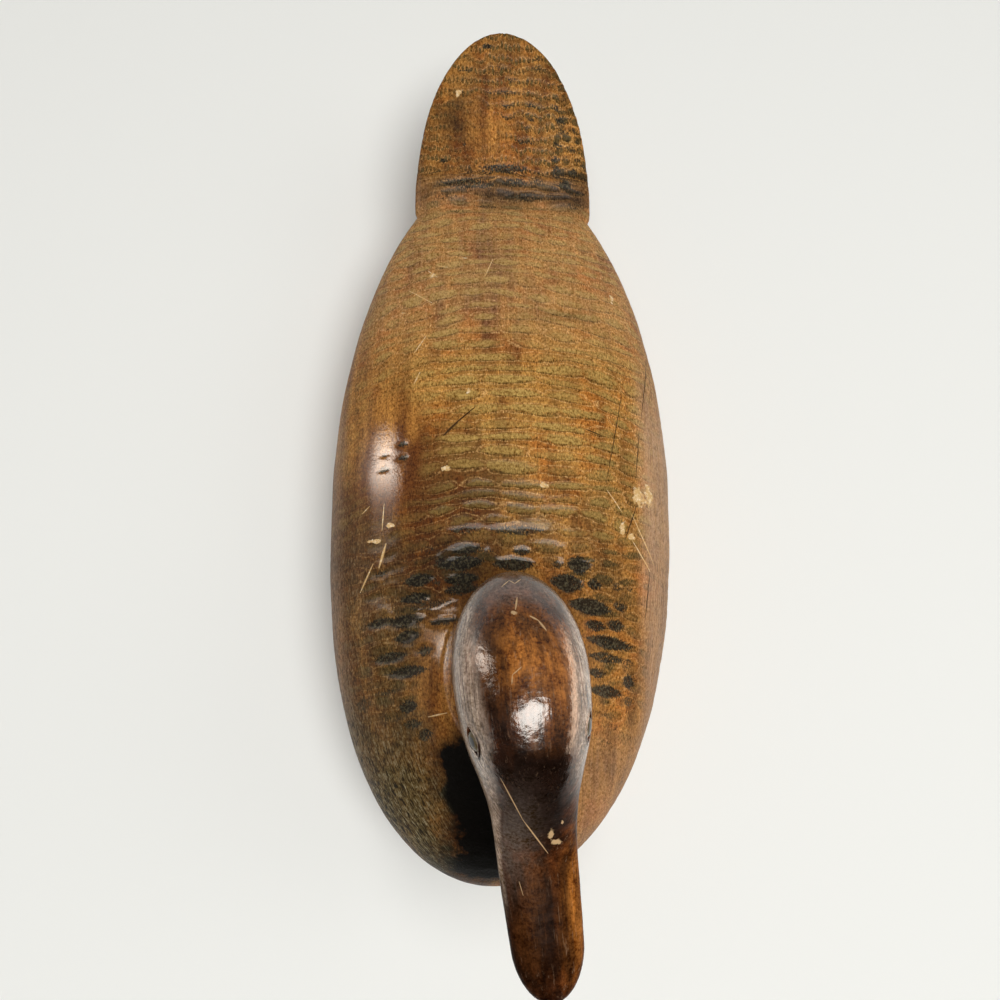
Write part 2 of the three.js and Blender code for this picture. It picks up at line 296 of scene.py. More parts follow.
# Where each point is on the carved skin: cuts across it from the middle, and rows along it.
crest = int(np.argmin(np.abs(angle[0] - math.pi / 2)))
across = np.zeros_like(x)
step = np.hypot(np.diff(x, axis=1), np.diff(z, axis=1))
across[:, crest + 1 :] = np.cumsum(step[:, crest:], axis=1)
across[:, :crest] = -np.cumsum(step[:, :crest][:, ::-1], axis=1)[:, ::-1]
along = np.concatenate([[0], np.cumsum(np.hypot(np.diff(station_y), np.diff(z[:, crest])))])
near_neck = ease(station_y, -0.015, -0.055)
pitch_here = ROW_PITCH + (ROW_PITCH_AT_NECK - ROW_PITCH) * near_neck
pitch_here += (ROW_PITCH_ON_TAIL - ROW_PITCH) * ease(station_y, 0.060, 0.100)
rows = np.concatenate([[0], np.cumsum(np.diff(along) / pitch_here[1:])])
on_tail = ease(y, 0.126, 0.132)
tail_rim = ease(x, 0.019, 0.023)
mid_back = blot(x, y, 0.006, 0.018, 0.034, 0.040)
cut_here = CUT_LENGTH + (LONG_CUT - CUT_LENGTH) * mid_back
cut_here += (TICK_LENGTH - cut_here) * on_tail
cut_here += (SQUARE_CUT - cut_here) * on_tail * tail_rim
cut_steps = step / ((cut_here[:, 1:] + cut_here[:, :-1]) / 2)
cuts = np.zeros_like(x)
cuts[:, crest + 1 :] = np.cumsum(cut_steps[:, crest:], axis=1)
cuts[:, :crest] = -np.cumsum(cut_steps[:, :crest][:, ::-1], axis=1)[:, ::-1]
ticked = on_tail * (1 - 2 * tail_rim)  # 1 where cuts are upright ticks and -1 where they are squares
row_at = np.interp(y + ROWS_ARCHED * x ** 2 * (1 - on_tail), station_y, rows)
carve = np.stack([-cuts, row_at, ticked], axis=-1)
skin_at = np.stack([-across, np.broadcast_to(along[:, None], x.shape), np.zeros_like(x)], axis=-1)

# How strongly each place is cut, how dark its cuts are, how brown and how stained it is, and where shade and sheen are
# painted in.
above = ease(z - sheer(y), -0.004, 0.008 - 0.009 * on_tail)
flank = ease(np.abs(across), 0.052, 0.072)
seat = ease((x / 0.036) ** 2 + ((y + 0.083) / 0.040) ** 2, 1.25, 0.7)
breast = ease(y, -0.085, -0.12)
worn = 0.85 * blot(x, y, -0.012, 0.150, 0.016, 0.016) + 0.7 * blot(x, y, -0.044, 0.000, 0.018, 0.045)
worn += 0.25 * blot(x, y, 0.010, 0.080, 0.030, 0.022) + blot(x, y, -0.0478, 0.004, 0.012, 0.024)
worked = above * (1 - 0.6 * flank) * (1 - seat) * (1 - 0.75 * breast) * np.clip(1 - worn, 0, 1)
worked *= 1 - 0.25 * ease(y, -0.022, -0.034)  # round the neck the deep cuts take over
pits = np.zeros_like(x)
for centre_x, centre_y, half_long, half_high, dark in NECK_CUTS + TAIL_CUTS:
    off_x = x - centre_x
    off_y = y - centre_y + 2 * ROWS_ARCHED * centre_x * off_x * (centre_y < 0.1)
    away = (np.abs(off_x / half_long) ** 1.5 + np.abs(off_y / half_high) ** 1.5) ** (1 / 1.5)
    pits = np.maximum(pits, dark * ease(away, 1.45, 0.80))
pits *= above * (1 - 0.15 * ease(y, 0.08, 0.10))
by_head = 0.5 * blot(x, y, -0.004, -0.016, 0.034, 0.010) + 0.3 * blot(x, y, 0.044, 0.000, 0.012, 0.030)
tail_edge = ease(x, 0.019, 0.023) * ease(y, 0.118, 0.124)
ticks = 0.65 * on_tail * (1 - tail_edge)
crease = blot(x, y, 0, 0.1235, 0.055, 0.0070)
dark_cuts = np.clip(0.10 + by_head + 0.75 * tail_edge + ticks + 0.9 * crease + 0.65 * ease(y, -0.026, -0.040), 0, 1)
# The left front quarter is painted darker and browner, partly as painted shade on the side turned from the light on the
# right.
shaded_left_front = ease(y, 0.014, -0.030) * ease(x, 0.006, -0.024)
browned = 0.90 * shaded_left_front * (1 - 0.35 * ease(y, -0.045, -0.065)) + 0.20 * ease(-x, 0.048, 0.064) + 0.30 * on_tail
browned += 0.8 * blot(x, y, -0.0197, 0.001, 0.004, 0.009) + 0.8 * blot(x, y, -0.0100, -0.006, 0.005, 0.005)
browned += 0.6 * blot(x, y, -0.0023, 0.001, 0.0015, 0.012) + 0.5 * blot(x, y, 0.022, -0.010, 0.003, 0.006)
browned += 0.65 * blot(x, y, -0.006, 0.065, 0.008, 0.045) + 0.35 * blot(x, y, -0.022, 0.080, 0.018, 0.020)
browned -= 0.9 * ease(-x, 0.019, 0.024) * blot(x, y, -0.0245, 0.171, 0.008, 0.008)
browned -= 0.70 * blot(x, y, -0.0250, -0.085, 0.009, 0.022)
browned += 0.85 * blot(x, y, -0.028, -0.008, 0.019, 0.022) + 0.30 * blot(x, y, 0.010, -0.024, 0.030, 0.016)
stain = 0.40 * blot(x, y, -0.026, -0.038, 0.026, 0.014) + 0.25 * blot(x, y, 0.028, -0.060, 0.022, 0.030)
stain += 0.20 * blot(x, y, -0.012, -0.018, 0.026, 0.012) + 0.35 * blot(x, y, -0.048, -0.085, 0.014, 0.035)
stain += 1.1 * crease * (0.7 + 0.3 * ease(np.abs(x), 0.022, 0.034))
stain += 0.9 * blot(x, y, -0.0228, 0.155, 0.006, 0.010) + 0.5 * blot(x, y, 0.024, 0.0615, 0.012, 0.0025)
stain += 0.30 * blot(x, y, 0.000, -0.070, 0.050, 0.038) + 0.12 * blot(x, y, 0.046, -0.030, 0.012, 0.045)
stain += 0.40 * breast * ease(x, 0.012, -0.010) + 0.20 * breast
# Painted shadow at the foot of the breast beside the bill.
stain += 0.9 * blot(x, y, -0.018, -0.148, 0.013, 0.012) + 0.30 * shaded_left_front * ease(y, -0.062, -0.038)
stain += 0.12 * on_tail * ease(y, 0.150, 0.175)
# Painted shadow: a near-black band on the breast along the left of the neck and under the head and bill, where the
# head's shadow falls. It is added to the stains.
off_line = np.abs(x + 0.0160 + 0.358 * (y + 0.1104) + 0.0016 * np.sin(y * 430))
painted_shadow_under_head = ease(off_line, 0.018, 0.002) * ease(y, -0.096, -0.125) * ease(y, -0.166, -0.150)
stain -= 0.30 * blot(x, y, -0.026, -0.086, 0.009, 0.018)
stain = np.maximum(stain, 0) + 2.2 * painted_shadow_under_head
combed = 0.9 * ease(y, -0.078, -0.140) * ease(x, -0.010, -0.040) + 0.25 * ease(-x, 0.052, 0.062)
combed += 0.35 * blot(x, y, -0.047, -0.062, 0.016, 0.040) + 0.15 * shaded_left_front
combed = (combed + 0.35 * ease(x, 0.052, 0.062)) * (1 - painted_shadow_under_head)
gloss = 0.05 + 0.95 * blot(x, y, -0.0478, 0.000, 0.010, 0.0115) + 0.8 * blot(x, y, -0.0235, -0.076, 0.004, 0.007)
gloss += 0.4 * blot(x, y, -0.034, -0.0585, 0.013, 0.0035) + 0.25 * blot(x, y, 0.004, -0.038, 0.034, 0.018)
outline = share(np.where(y < WIDEST, WIDEST - y, 0), WIDEST - BREAST, 2.56)
from_edge = np.abs(x - bowed(y)) - BODY_WIDTH / 2 * np.sqrt(outline)
contour = np.stack([from_edge, np.broadcast_to(along[:, None], x.shape), np.zeros_like(x)], axis=-1)
# Pale bands painted along the flank edges, where the wood turns steeply away, are painted sheen; the rump and the right
# breast are painted paler too.
faded = 0.25 * ease(y, 0.030, 0.070) * (1 - on_tail)
faded += 0.9 * ease(x, 0.050, 0.060) * ease(y, 0.06, 0.01) + 0.4 * ease(y, -0.095, -0.120) * ease(x, 0.02, 0.03)
faded += 0.65 * ease(from_edge, -0.0085, -0.002) * (x < 0) * ease(y, 0.060, 0.010) * ease(y, -0.135, -0.110)

# A long scoop beside the neck seat, and the slow waviness that the drawknife left.
scoop_line = -0.0575 - 0.22 * (x + 0.040)
scoop = blot(x, y, -0.034, scoop_line, 0.015, 0.0042)
wave = 1 + np.sin(x * 95 + 2.0 * np.sin(y * 61)) * np.sin(y * 118 + 1.4 * np.sin(x * 80))
hollow = above * (0.0011 * scoop + 0.00018 * wave) + pits * np.where(y < -0.02, NECK_CUT_DEPTH, TAIL_CUT_DEPTH)
hollow[[0, -1]] = 0
x -= hollow * np.cos(angle)
z = np.where(z < SEAT_HEIGHT - 1e-6, z - hollow * np.sin(angle), z)

body_mesh = skin(
    "carved_body",
    np.stack([x, y, z], axis=-1),
    {
        "carve": carve,
        "skin_at": skin_at,
        "worked": worked,
        "sunk": worked * (0.22 + 0.78 * dark_cuts) * (1 - 0.5 * on_tail),
        "dark_cuts": dark_cuts,
        "browned": np.clip(browned, 0, 1),
        "stain": np.clip(stain, 0, 3),
        "pits": pits,
        "above": above,
        "combed": combed * above,
        "gloss": np.clip(gloss, 0, 1),
        "contour": contour,
        "faded": np.clip(faded, 0, 1) * ease(z - sheer(y), -0.022, 0.008),
    },
)
body = piece_of("carved_body", body_mesh)


def add(tree, kind, inputs=None, **settings):
    """One node, with its settings; inputs are given by name or number, as a value or a socket."""
    node = tree.nodes.new(kind)
    for key, value in settings.items():
        setattr(node, key, value)
    for key, value in (inputs or {}).items():
        if isinstance(value, bpy.types.NodeSocket):
            tree.links.new(value, node.inputs[key])
        else:
            node.inputs[key].default_value = value
    return node


def linear(code):
    """An sRGB hex colour as the linear values that a shader takes."""
    parts = [int(code[i : i + 2], 16) / 255 for i in (1, 3, 5)]
    return tuple(c / 12.92 if c <= 0.04045 else ((c + 0.055) / 1.055) ** 2.4 for c in parts) + (1.0,)


def gouge_rows(tree, carve_at):
    """Rows of short gouge cuts. Returns how deep the wood is cut at carve_at, from 0 to 1, and
    how near it is to the thin rim round each cut and to the painted shade along its breast-side edge."""
    waver = add(tree, "ShaderNodeTexNoise", {"Vector": carve_at, "Scale": 0.33, "Detail": 1.5})
    ragged = add(tree, "ShaderNodeTexNoise", {"Vector": carve_at, "Scale": 3.4, "Detail": 3.0})
    sway = add(tree, "ShaderNodeMapRange", {0: waver.outputs[0], 1: 0.3, 2: 0.7, 3: -0.42, 4: 0.42})
    place = add(tree, "ShaderNodeSeparateXYZ", {0: carve_at})
    row_at = add(tree, "ShaderNodeMath", {0: place.outputs[1], 1: sway.outputs[0]}, operation="ADD")
    row = add(tree, "ShaderNodeMath", {0: row_at.outputs[0]}, operation="FLOOR")
    in_row = add(tree, "ShaderNodeMath", {0: row_at.outputs[0]}, operation="FRACT")
    off_row = add(tree, "ShaderNodeMath", {0: in_row.outputs[0], 1: 0.5}, operation="SUBTRACT")
    stagger = add(tree, "ShaderNodeTexWhiteNoise", {"W": row.outputs[0]}, noise_dimensions="1D")
    cut_at = add(tree, "ShaderNodeMath", {0: place.outputs[0], 1: stagger.outputs[0]}, operation="ADD")
    cut = add(tree, "ShaderNodeMath", {0: cut_at.outputs[0]}, operation="FLOOR")
    in_cut = add(tree, "ShaderNodeMath", {0: cut_at.outputs[0]}, operation="FRACT")
    off_cut = add(tree, "ShaderNodeMath", {0: in_cut.outputs[0], 1: 0.5}, operation="SUBTRACT")
    cell = add(tree, "ShaderNodeCombineXYZ", {0: cut.outputs[0], 1: row.outputs[0]})
    chance = add(tree, "ShaderNodeTexWhiteNoise", {"Vector": cell.outputs[0]}, noise_dimensions="2D")
    luck = add(tree, "ShaderNodeSeparateXYZ", {0: chance.outputs[1]})
    longer = add(tree, "ShaderNodeMath", {0: place.outputs[2], 1: -0.12, 2: 0.92}, operation="MULTIPLY_ADD")
    wider = add(tree, "ShaderNodeMath", {0: place.outputs[2], 1: -0.25, 2: 1.20}, operation="MULTIPLY_ADD")
    half_long = add(tree, "ShaderNodeMapRange", {0: luck.outputs[0], 3: 0.40, 4: 0.74})
    half_long = add(tree, "ShaderNodeMath", {0: half_long.outputs[0], 1: longer.outputs[0]}, operation="MULTIPLY")
    half_wide = add(tree, "ShaderNodeMapRange", {0: luck.outputs[1], 3: 0.20, 4: 0.33})
    half_wide = add(tree, "ShaderNodeMath", {0: half_wide.outputs[0], 1: wider.outputs[0]}, operation="MULTIPLY")
    strength = add(tree, "ShaderNodeMapRange", {0: luck.outputs[2], 3: 0.35, 4: 1.0})
    by_long = add(tree, "ShaderNodeMath", {0: off_cut.outputs[0], 1: half_long.outputs[0]}, operation="DIVIDE")
    by_wide = add(tree, "ShaderNodeMath", {0: off_row.outputs[0], 1: half_wide.outputs[0]}, operation="DIVIDE")
    apart = add(tree, "ShaderNodeCombineXYZ", {0: by_long.outputs[0], 1: by_wide.outputs[0]})
    far = add(tree, "ShaderNodeVectorMath", {0: apart.outputs[0]}, operation="LENGTH")
    fray = add(tree, "ShaderNodeMapRange", {0: ragged.outputs[0], 1: 0.3, 2: 0.7, 3: -0.24, 4: 0.24})
    edge = add(tree, "ShaderNodeMath", {0: far.outputs["Value"], 1: fray.outputs[0]}, operation="ADD")
    bowl = add(
        tree,
        "ShaderNodeMapRange",
        {0: edge.outputs[0], 1: 1.08, 2: 0.50, 3: 0.0, 4: 1.0},
        interpolation_type="SMOOTHSTEP",
    )
    deep = add(tree, "ShaderNodeMath", {0: bowl.outputs[0], 1: strength.outputs[0]}, operation="MULTIPLY")
    off_rim = add(tree, "ShaderNodeMath", {0: edge.outputs[0], 1: 1.13}, operation="SUBTRACT")
    off_rim = add(tree, "ShaderNodeMath", {0: off_rim.outputs[0]}, operation="ABSOLUTE")
    rim = add(tree, "ShaderNodeMapRange", {0: off_rim.outputs[0], 1: 0.15, 2: 0.0, 3: 0.0, 4: 1.0})
    low = add(tree, "ShaderNodeMapRange", {0: by_wide.outputs[0], 1: -0.10, 2: -0.75, 3: 0.0, 4: 1.0})
    off_lip = add(tree, "ShaderNodeMath", {0: edge.outputs[0], 1: 0.88}, operation="SUBTRACT")
    off_lip = add(tree, "ShaderNodeMath", {0: off_lip.outputs[0]}, operation="ABSOLUTE")
    lip_shade = add(tree, "ShaderNodeMapRange", {0: off_lip.outputs[0], 1: 0.30, 2: 0.08, 3: 0.0, 4: 1.0})
    lip_shade = add(tree, "ShaderNodeMath", {0: lip_shade.outputs[0], 1: low.outputs[0]}, operation="MULTIPLY")
    return deep.outputs[0], rim.outputs[0], lip_shade.outputs[0]


def as_plain_mesh(piece):
    """Applies every modifier of piece."""
    graph = bpy.context.evaluated_depsgraph_get()
    made = piece.evaluated_get(graph)
    mesh = bpy.data.meshes.new_from_object(made, preserve_all_data_layers=True, depsgraph=graph)
    piece.modifiers.clear()
    piece.data = mesh
    mesh.shade_smooth()


cutting = bpy.data.node_groups.new("gouge cuts", "GeometryNodeTree")
cutting.interface.new_socket("Wood", in_out="INPUT", socket_type="NodeSocketGeometry")
depth_socket = cutting.interface.new_socket("Cut depth", in_out="INPUT", socket_type="NodeSocketFloat")
finish_socket = cutting.interface.new_socket("Finish", in_out="INPUT", socket_type="NodeSocketMaterial")
cutting.interface.new_socket("Wood", in_out="OUTPUT", socket_type="NodeSocketGeometry")
given = add(cutting, "NodeGroupInput")
carve_at = add(cutting, "GeometryNodeInputNamedAttribute", {"Name": "carve"}, data_type="FLOAT_VECTOR")
sunk_at = add(cutting, "GeometryNodeInputNamedAttribute", {"Name": "sunk"}, data_type="FLOAT")
deep, rim, lip_shade = gouge_rows(cutting, carve_at.outputs[0])
depth = add(cutting, "ShaderNodeMath", {0: deep, 1: sunk_at.outputs[0]}, operation="MULTIPLY")
inward = add(cutting, "ShaderNodeMath", {0: depth.outputs[0], 1: given.outputs["Cut depth"]}, operation="MULTIPLY")
inward = add(cutting, "ShaderNodeMath", {0: inward.outputs[0], 1: -1.0}, operation="MULTIPLY")
facing = add(cutting, "GeometryNodeInputNormal")
push = add(
    cutting,
    "ShaderNodeVectorMath",
    {0: facing.outputs[0], "Scale": inward.outputs[0]},
    operation="SCALE",
)
carved = add(cutting, "GeometryNodeSetPosition", {"Geometry": given.outputs["Wood"], "Offset": push.outputs[0]})
real = add(cutting, "GeometryNodeRealizeInstances", {"Geometry": carved.outputs[0]})
finished = add(
    cutting,
    "GeometryNodeSetMaterial",
    {"Geometry": real.outputs[0], "Material": given.outputs["Finish"]},
)
add(cutting, "NodeGroupOutput", {"Wood": finished.outputs[0]})

# Softwood under brown stain and old oil varnish: satin and streaked along the grain. The gouge
# cuts hold olive paint and grime, their rims are rubbed light, and dirt sits in the open pores.
# Shade is painted under the head, on the left front and along each cut's breast-side edge, and a
# pale sheen along the flank edges.
GRAIN_WIDTH, GRAIN_LENGTH = 0.0009, 0.030
PORE_WIDTH, PORE_LENGTH = 0.00050, 0.0013
BODY_SCRATCHES = [
    ((-0.0411, 0.0738), (-0.0306, 0.0661), 0.00024),
    ((-0.0063, 0.0878), (-0.0097, 0.0790), 0.00024),
    ((-0.0200, 0.0883), (-0.0167, 0.0882), 0.00024),
    ((-0.0292, 0.0847), (-0.0250, 0.0839), 0.00017),
    ((-0.0333, 0.0826), (-0.0295, 0.0792), 0.00024),
    ((-0.0383, 0.0441), (-0.0336, 0.0514), 0.00028),
    ((-0.0381, 0.0305), (-0.0358, 0.0355), 0.00031),
    ((-0.0502, -0.0429), (-0.0477, -0.0337), 0.00052),
    ((-0.0575, -0.0521), (-0.0526, -0.0412), 0.00031),
    ((-0.0494, -0.0285), (-0.0488, -0.0179), 0.00024),
    ((0.0385, -0.0117), (0.0448, -0.0199), 0.00024),
    ((0.0494, -0.0207), (0.0595, -0.0396), 0.00024),
    ((0.0491, -0.0307), (0.0575, -0.0426), 0.00028),
    ((-0.0304, -0.0988), (-0.0236, -0.0972), 0.00028),
    ((-0.0576, -0.0210), (-0.0545, -0.0182), 0.00021),
    ((-0.0445, 0.0636), (-0.0420, 0.0631), 0.00021),
]
BODY_CRACKS = [
    ((0.0467, 0.0307), (0.0381, -0.0097), 0.00020),
    ((0.0541, 0.0155), (0.0516, -0.0061), 0.00020),
    ((0.0518, -0.0163), (0.0459, -0.0310), 0.00026),
    ((0.0575, -0.0426), (0.0547, -0.0618), 0.00024),
    ((0.0612, 0.0507), (0.0553, 0.0202), 0.00021),
    ((-0.0262, 0.0083), (-0.0200, 0.0146), 0.00055),
    ((-0.0215, 0.0131), (-0.0140, 0.0199), 0.00030),
    ((0.0298, 0.0125), (0.0370, 0.0103), 0.00028),
]
BODY_CHIPS = [
    (0.0528, -0.0129, 0.0024, 0.0034),
    (0.0575, -0.0113, 0.0018, 0.0042),
    (0.0447, -0.0260, 0.0013, 0.0026),
    (0.0487, -0.0292, 0.0013, 0.0016),
    (0.0129, -0.0113, 0.0014, 0.0011),
    (-0.0459, -0.0268, 0.0022, 0.0009),
    (-0.0520, -0.0325, 0.0024, 0.0007),
    (-0.0164, 0.0265, 0.0007, 0.0012),
    (-0.0250, -0.0049, 0.0014, 0.0012),
    (-0.0315, 0.0800, 0.0014, 0.0010),
    (-0.0215, 0.1650, 0.0011, 0.0016),
    (0.0448, 0.0742, 0.0008, 0.0018),
]


def scratch_group():
    """A node group: how near a point is to a straight mark, seen from above."""
    tree = bpy.data.node_groups.new("straight mark", "ShaderNodeTree")
    for name, kind in (("At", "Vector"), ("Start", "Vector"), ("Along", "Vector"), ("Half width", "Float")):
        tree.interface.new_socket(name, in_out="INPUT", socket_type="NodeSocket" + kind)
    tree.interface.new_socket("Mark", in_out="OUTPUT", socket_type="NodeSocketFloat")
    given = add(tree, "NodeGroupInput")
    along = given.outputs["Along"]
    local = add(tree, "ShaderNodeVectorMath", {0: given.outputs["At"], 1: given.outputs["Start"]}, operation="SUBTRACT")
    walked = add(tree, "ShaderNodeVectorMath", {0: local.outputs[0], 1: along}, operation="DOT_PRODUCT")
    whole = add(tree, "ShaderNodeVectorMath", {0: along, 1: along}, operation="DOT_PRODUCT")
    part = add(
        tree,
        "ShaderNodeMath",
        {0: walked.outputs["Value"], 1: whole.outputs["Value"]},
        operation="DIVIDE",
        use_clamp=True,
    )
    nearest = add(tree, "ShaderNodeVectorMath", {0: along, "Scale": part.outputs[0]}, operation="SCALE")
    gap = add(tree, "ShaderNodeVectorMath", {0: local.outputs[0], 1: nearest.outputs[0]}, operation="DISTANCE")
    thin = add(tree, "ShaderNodeMath", {0: part.outputs[0], 1: 3.14159}, operation="MULTIPLY")
    thin = add(tree, "ShaderNodeMath", {0: thin.outputs[0]}, operation="SINE")
    width = add(tree, "ShaderNodeMapRange", {0: thin.outputs[0], 3: 0.35, 4: 1.0})
    width = add(
        tree,
        "ShaderNodeMath",
        {0: width.outputs[0], 1: given.outputs["Half width"]},
        operation="MULTIPLY",
    )
    near = add(tree, "ShaderNodeMath", {0: gap.outputs["Value"], 1: width.outputs[0]}, operation="DIVIDE")
    mark = add(tree, "ShaderNodeMapRange", {0: near.outputs[0], 1: 1.3, 2: 0.5, 3: 0.0, 4: 1.0})
    add(tree, "NodeGroupOutput", {"Mark": mark.outputs[0]})
    return tree


STRAIGHT_MARK = scratch_group()


def straight_marks(tree, at, marks):
    """The strongest of several straight marks, each a start, an end and half its width."""
    total = None
    for (start_x, start_y), (end_x, end_y), half_width in marks:
        one = add(tree, "ShaderNodeGroup", node_tree=STRAIGHT_MARK)
        tree.links.new(at, one.inputs["At"])
        one.inputs["Start"].default_value = (start_x, start_y, 0)
        one.inputs["Along"].default_value = (end_x - start_x, end_y - start_y, 0)
        one.inputs["Half width"].default_value = half_width
        if total is None:
            total = one.outputs[0]
        else:
            total = add(tree, "ShaderNodeMath", {0: total, 1: one.outputs[0]}, operation="MAXIMUM").outputs[0]
    return total


def oval_chips(tree, at, chips, rough):
    """The strongest of several oval chips, each a place and two half sizes, with edges broken by rough."""
    total = None
    for centre_x, centre_y, half_x, half_y in chips:
        local = add(
            tree,
            "ShaderNodeVectorMath",
            {0: at, 1: (centre_x, centre_y, 0)},
            operation="SUBTRACT",
        )
        scaled = add(
            tree,
            "ShaderNodeVectorMath",
            {0: local.outputs[0], 1: (1 / half_x, 1 / half_y, 0)},
            operation="MULTIPLY",
        )
        far = add(tree, "ShaderNodeVectorMath", {0: scaled.outputs[0]}, operation="LENGTH")
        far = add(tree, "ShaderNodeMath", {0: far.outputs["Value"], 1: rough}, operation="ADD")
        one = add(tree, "ShaderNodeMapRange", {0: far.outputs[0], 1: 1.15, 2: 0.8, 3: 0.0, 4: 1.0})
        if total is None:
            total = one.outputs[0]
        else:
            total = add(tree, "ShaderNodeMath", {0: total, 1: one.outputs[0]}, operation="MAXIMUM").outputs[0]
    return total


def speckled(tree, colour, mottle, amount=1.0):
    """Colour with fine specks of grime where mottle is 0 and of dry, bleached varnish where it is 1."""
    tint = add(
        tree,
        "ShaderNodeMix",
        {0: mottle, 6: (0.34, 0.23, 0.08, 1.0), 7: (1.62, 1.72, 1.95, 1.0)},
        data_type="RGBA",
    ).outputs[2]
    return add(
        tree,
        "ShaderNodeMix",
        {0: amount, 6: colour, 7: tint},
        data_type="RGBA",
        blend_type="MULTIPLY",
    ).outputs[2]


def new_material(name):
    material = bpy.data.materials.new(name)
    material.use_nodes = True
    material.node_tree.nodes.clear()
    return material, material.node_tree


stained_wood, tree = new_material("stained gouge-cut softwood")
at = add(tree, "ShaderNodeTexCoord").outputs["Object"]
flat_at = add(tree, "ShaderNodeVectorMath", {0: at, 1: (1, 1, 0)}, operation="MULTIPLY").outputs[0]
names = "carve skin_at contour worked sunk dark_cuts pits browned stain above combed gloss faded".split()
layers = {name: add(tree, "ShaderNodeAttribute", attribute_name=name) for name in names}
value = {name: node.outputs["Fac"] for name, node in layers.items()}
skin_at = layers["skin_at"].outputs["Vector"]
deep, rim, lip_shade = gouge_rows(tree, layers["carve"].outputs["Vector"])

grain_at = add(
    tree,
    "ShaderNodeVectorMath",
    {0: skin_at, 1: (1 / GRAIN_WIDTH, 1 / GRAIN_LENGTH, 0)},
    operation="MULTIPLY",
).outputs[0]
grain = add(tree, "ShaderNodeTexNoise", {"Vector": grain_at, "Scale": 1.0, "Detail": 3.0}).outputs[0]
pore_at = add(
    tree,
    "ShaderNodeVectorMath",
    {0: skin_at, 1: (1 / PORE_WIDTH, 1 / PORE_LENGTH, 0)},
    operation="MULTIPLY",
).outputs[0]
pore = add(tree, "ShaderNodeTexNoise", {"Vector": pore_at, "Scale": 1.0, "Detail": 3.0, "Roughness": 0.65}).outputs[0]
streak_at = add(tree, "ShaderNodeVectorMath", {0: skin_at, 1: (150, 34, 0)}, operation="MULTIPLY").outputs[0]
streak = add(tree, "ShaderNodeTexNoise", {"Vector": streak_at, "Scale": 1.0, "Detail": 4.0}).outputs[0]
cloud = add(tree, "ShaderNodeTexNoise", {"Vector": at, "Scale": 55.0, "Detail": 5.0, "Roughness": 0.65}).outputs[0]
speck = add(tree, "ShaderNodeTexNoise", {"Vector": at, "Scale": 900.0, "Detail": 4.0, "Roughness": 0.65}).outputs[0]
light_speck = add(tree, "ShaderNodeMapRange", {0: speck, 1: 0.48, 2: 0.68, 3: 0.0, 4: 1.0}).outputs[0]

brown_amount = add(tree, "ShaderNodeMapRange", {0: streak, 1: 0.36, 2: 0.66, 3: -0.30, 4: 0.70}).outputs[0]
brown_amount = add(
    tree,
    "ShaderNodeMath",
    {0: brown_amount, 1: value["browned"]},
    operation="ADD",
    use_clamp=True,
).outputs[0]
ruddy = add(tree, "ShaderNodeMapRange", {0: cloud, 1: 0.48, 2: 0.36, 3: 0.0, 4: 0.6}).outputs[0]
colour = add(
    tree,
    "ShaderNodeMix",
    {0: ruddy, 6: linear("#b37a36"), 7: linear("#aa6224")},
    data_type="RGBA",
).outputs[2]
colour = add(
    tree,
    "ShaderNodeMix",
    {0: brown_amount, 6: colour, 7: linear("#693a13")},
    data_type="RGBA",
).outputs[2]
grain_amount = add(tree, "ShaderNodeMapRange", {0: grain, 1: 0.52, 2: 0.72, 3: 0.0, 4: 0.5}).outputs[0]
colour = add(
    tree,
    "ShaderNodeMix",
    {0: grain_amount, 6: colour, 7: linear("#4a2a0d")},
    data_type="RGBA",
).outputs[2]

film = add(tree, "ShaderNodeMapRange", {0: cloud, 1: 0.40, 2: 0.62, 3: 0.0, 4: 0.45}).outputs[0]
cut_amount = add(tree, "ShaderNodeMath", {0: deep, 1: 1.2, 2: film}, operation="MULTIPLY_ADD").outputs[0]
grit = add(tree, "ShaderNodeMapRange", {0: pore, 1: 0.34, 2: 0.62, 3: 0.40, 4: 1.40}).outputs[0]
cut_amount = add(tree, "ShaderNodeMath", {0: cut_amount, 1: grit}, operation="MULTIPLY").outputs[0]
cut_amount = add(
    tree,
    "ShaderNodeMath",
    {0: cut_amount, 1: value["worked"]},
    operation="MULTIPLY",
    use_clamp=True,
).outputs[0]
cut_colour = add(
    tree,
    "ShaderNodeMix",
    {0: value["dark_cuts"], 6: linear("#ae8b48"), 7: linear("#2b2314")},
    data_type="RGBA",
).outputs[2]
colour = add(
    tree,
    "ShaderNodeMix",
    {0: cut_amount, 6: colour, 7: cut_colour},
    data_type="RGBA",
).outputs[2]
rim_amount = add(tree, "ShaderNodeMath", {0: rim, 1: value["worked"]}, operation="MULTIPLY").outputs[0]
pale_rims = add(tree, "ShaderNodeMapRange", {0: pore, 1: 0.36, 2: 0.60, 3: 0.95, 4: 0.30}).outputs[0]
rim_amount = add(tree, "ShaderNodeMath", {0: rim_amount, 1: pale_rims}, operation="MULTIPLY").outputs[0]
colour = add(
    tree,
    "ShaderNodeMix",
    {0: rim_amount, 6: colour, 7: linear("#c79a5c")},
    data_type="RGBA",
).outputs[2]
# Painted shade along the breast-side edge of each cut.
lip_shade_amount = add(tree, "ShaderNodeMapRange", {0: pore, 1: 0.62, 2: 0.40, 3: 0.85, 4: 0.25}).outputs[0]
lip_shade_amount = add(tree, "ShaderNodeMath", {0: lip_shade_amount, 1: lip_shade}, operation="MULTIPLY").outputs[0]
lip_shade_amount = add(tree, "ShaderNodeMath", {0: lip_shade_amount, 1: value["worked"]}, operation="MULTIPLY").outputs[0]
colour = add(
    tree,
    "ShaderNodeMix",
    {0: lip_shade_amount, 6: colour, 7: linear("#463210")},
    data_type="RGBA",
).outputs[2]
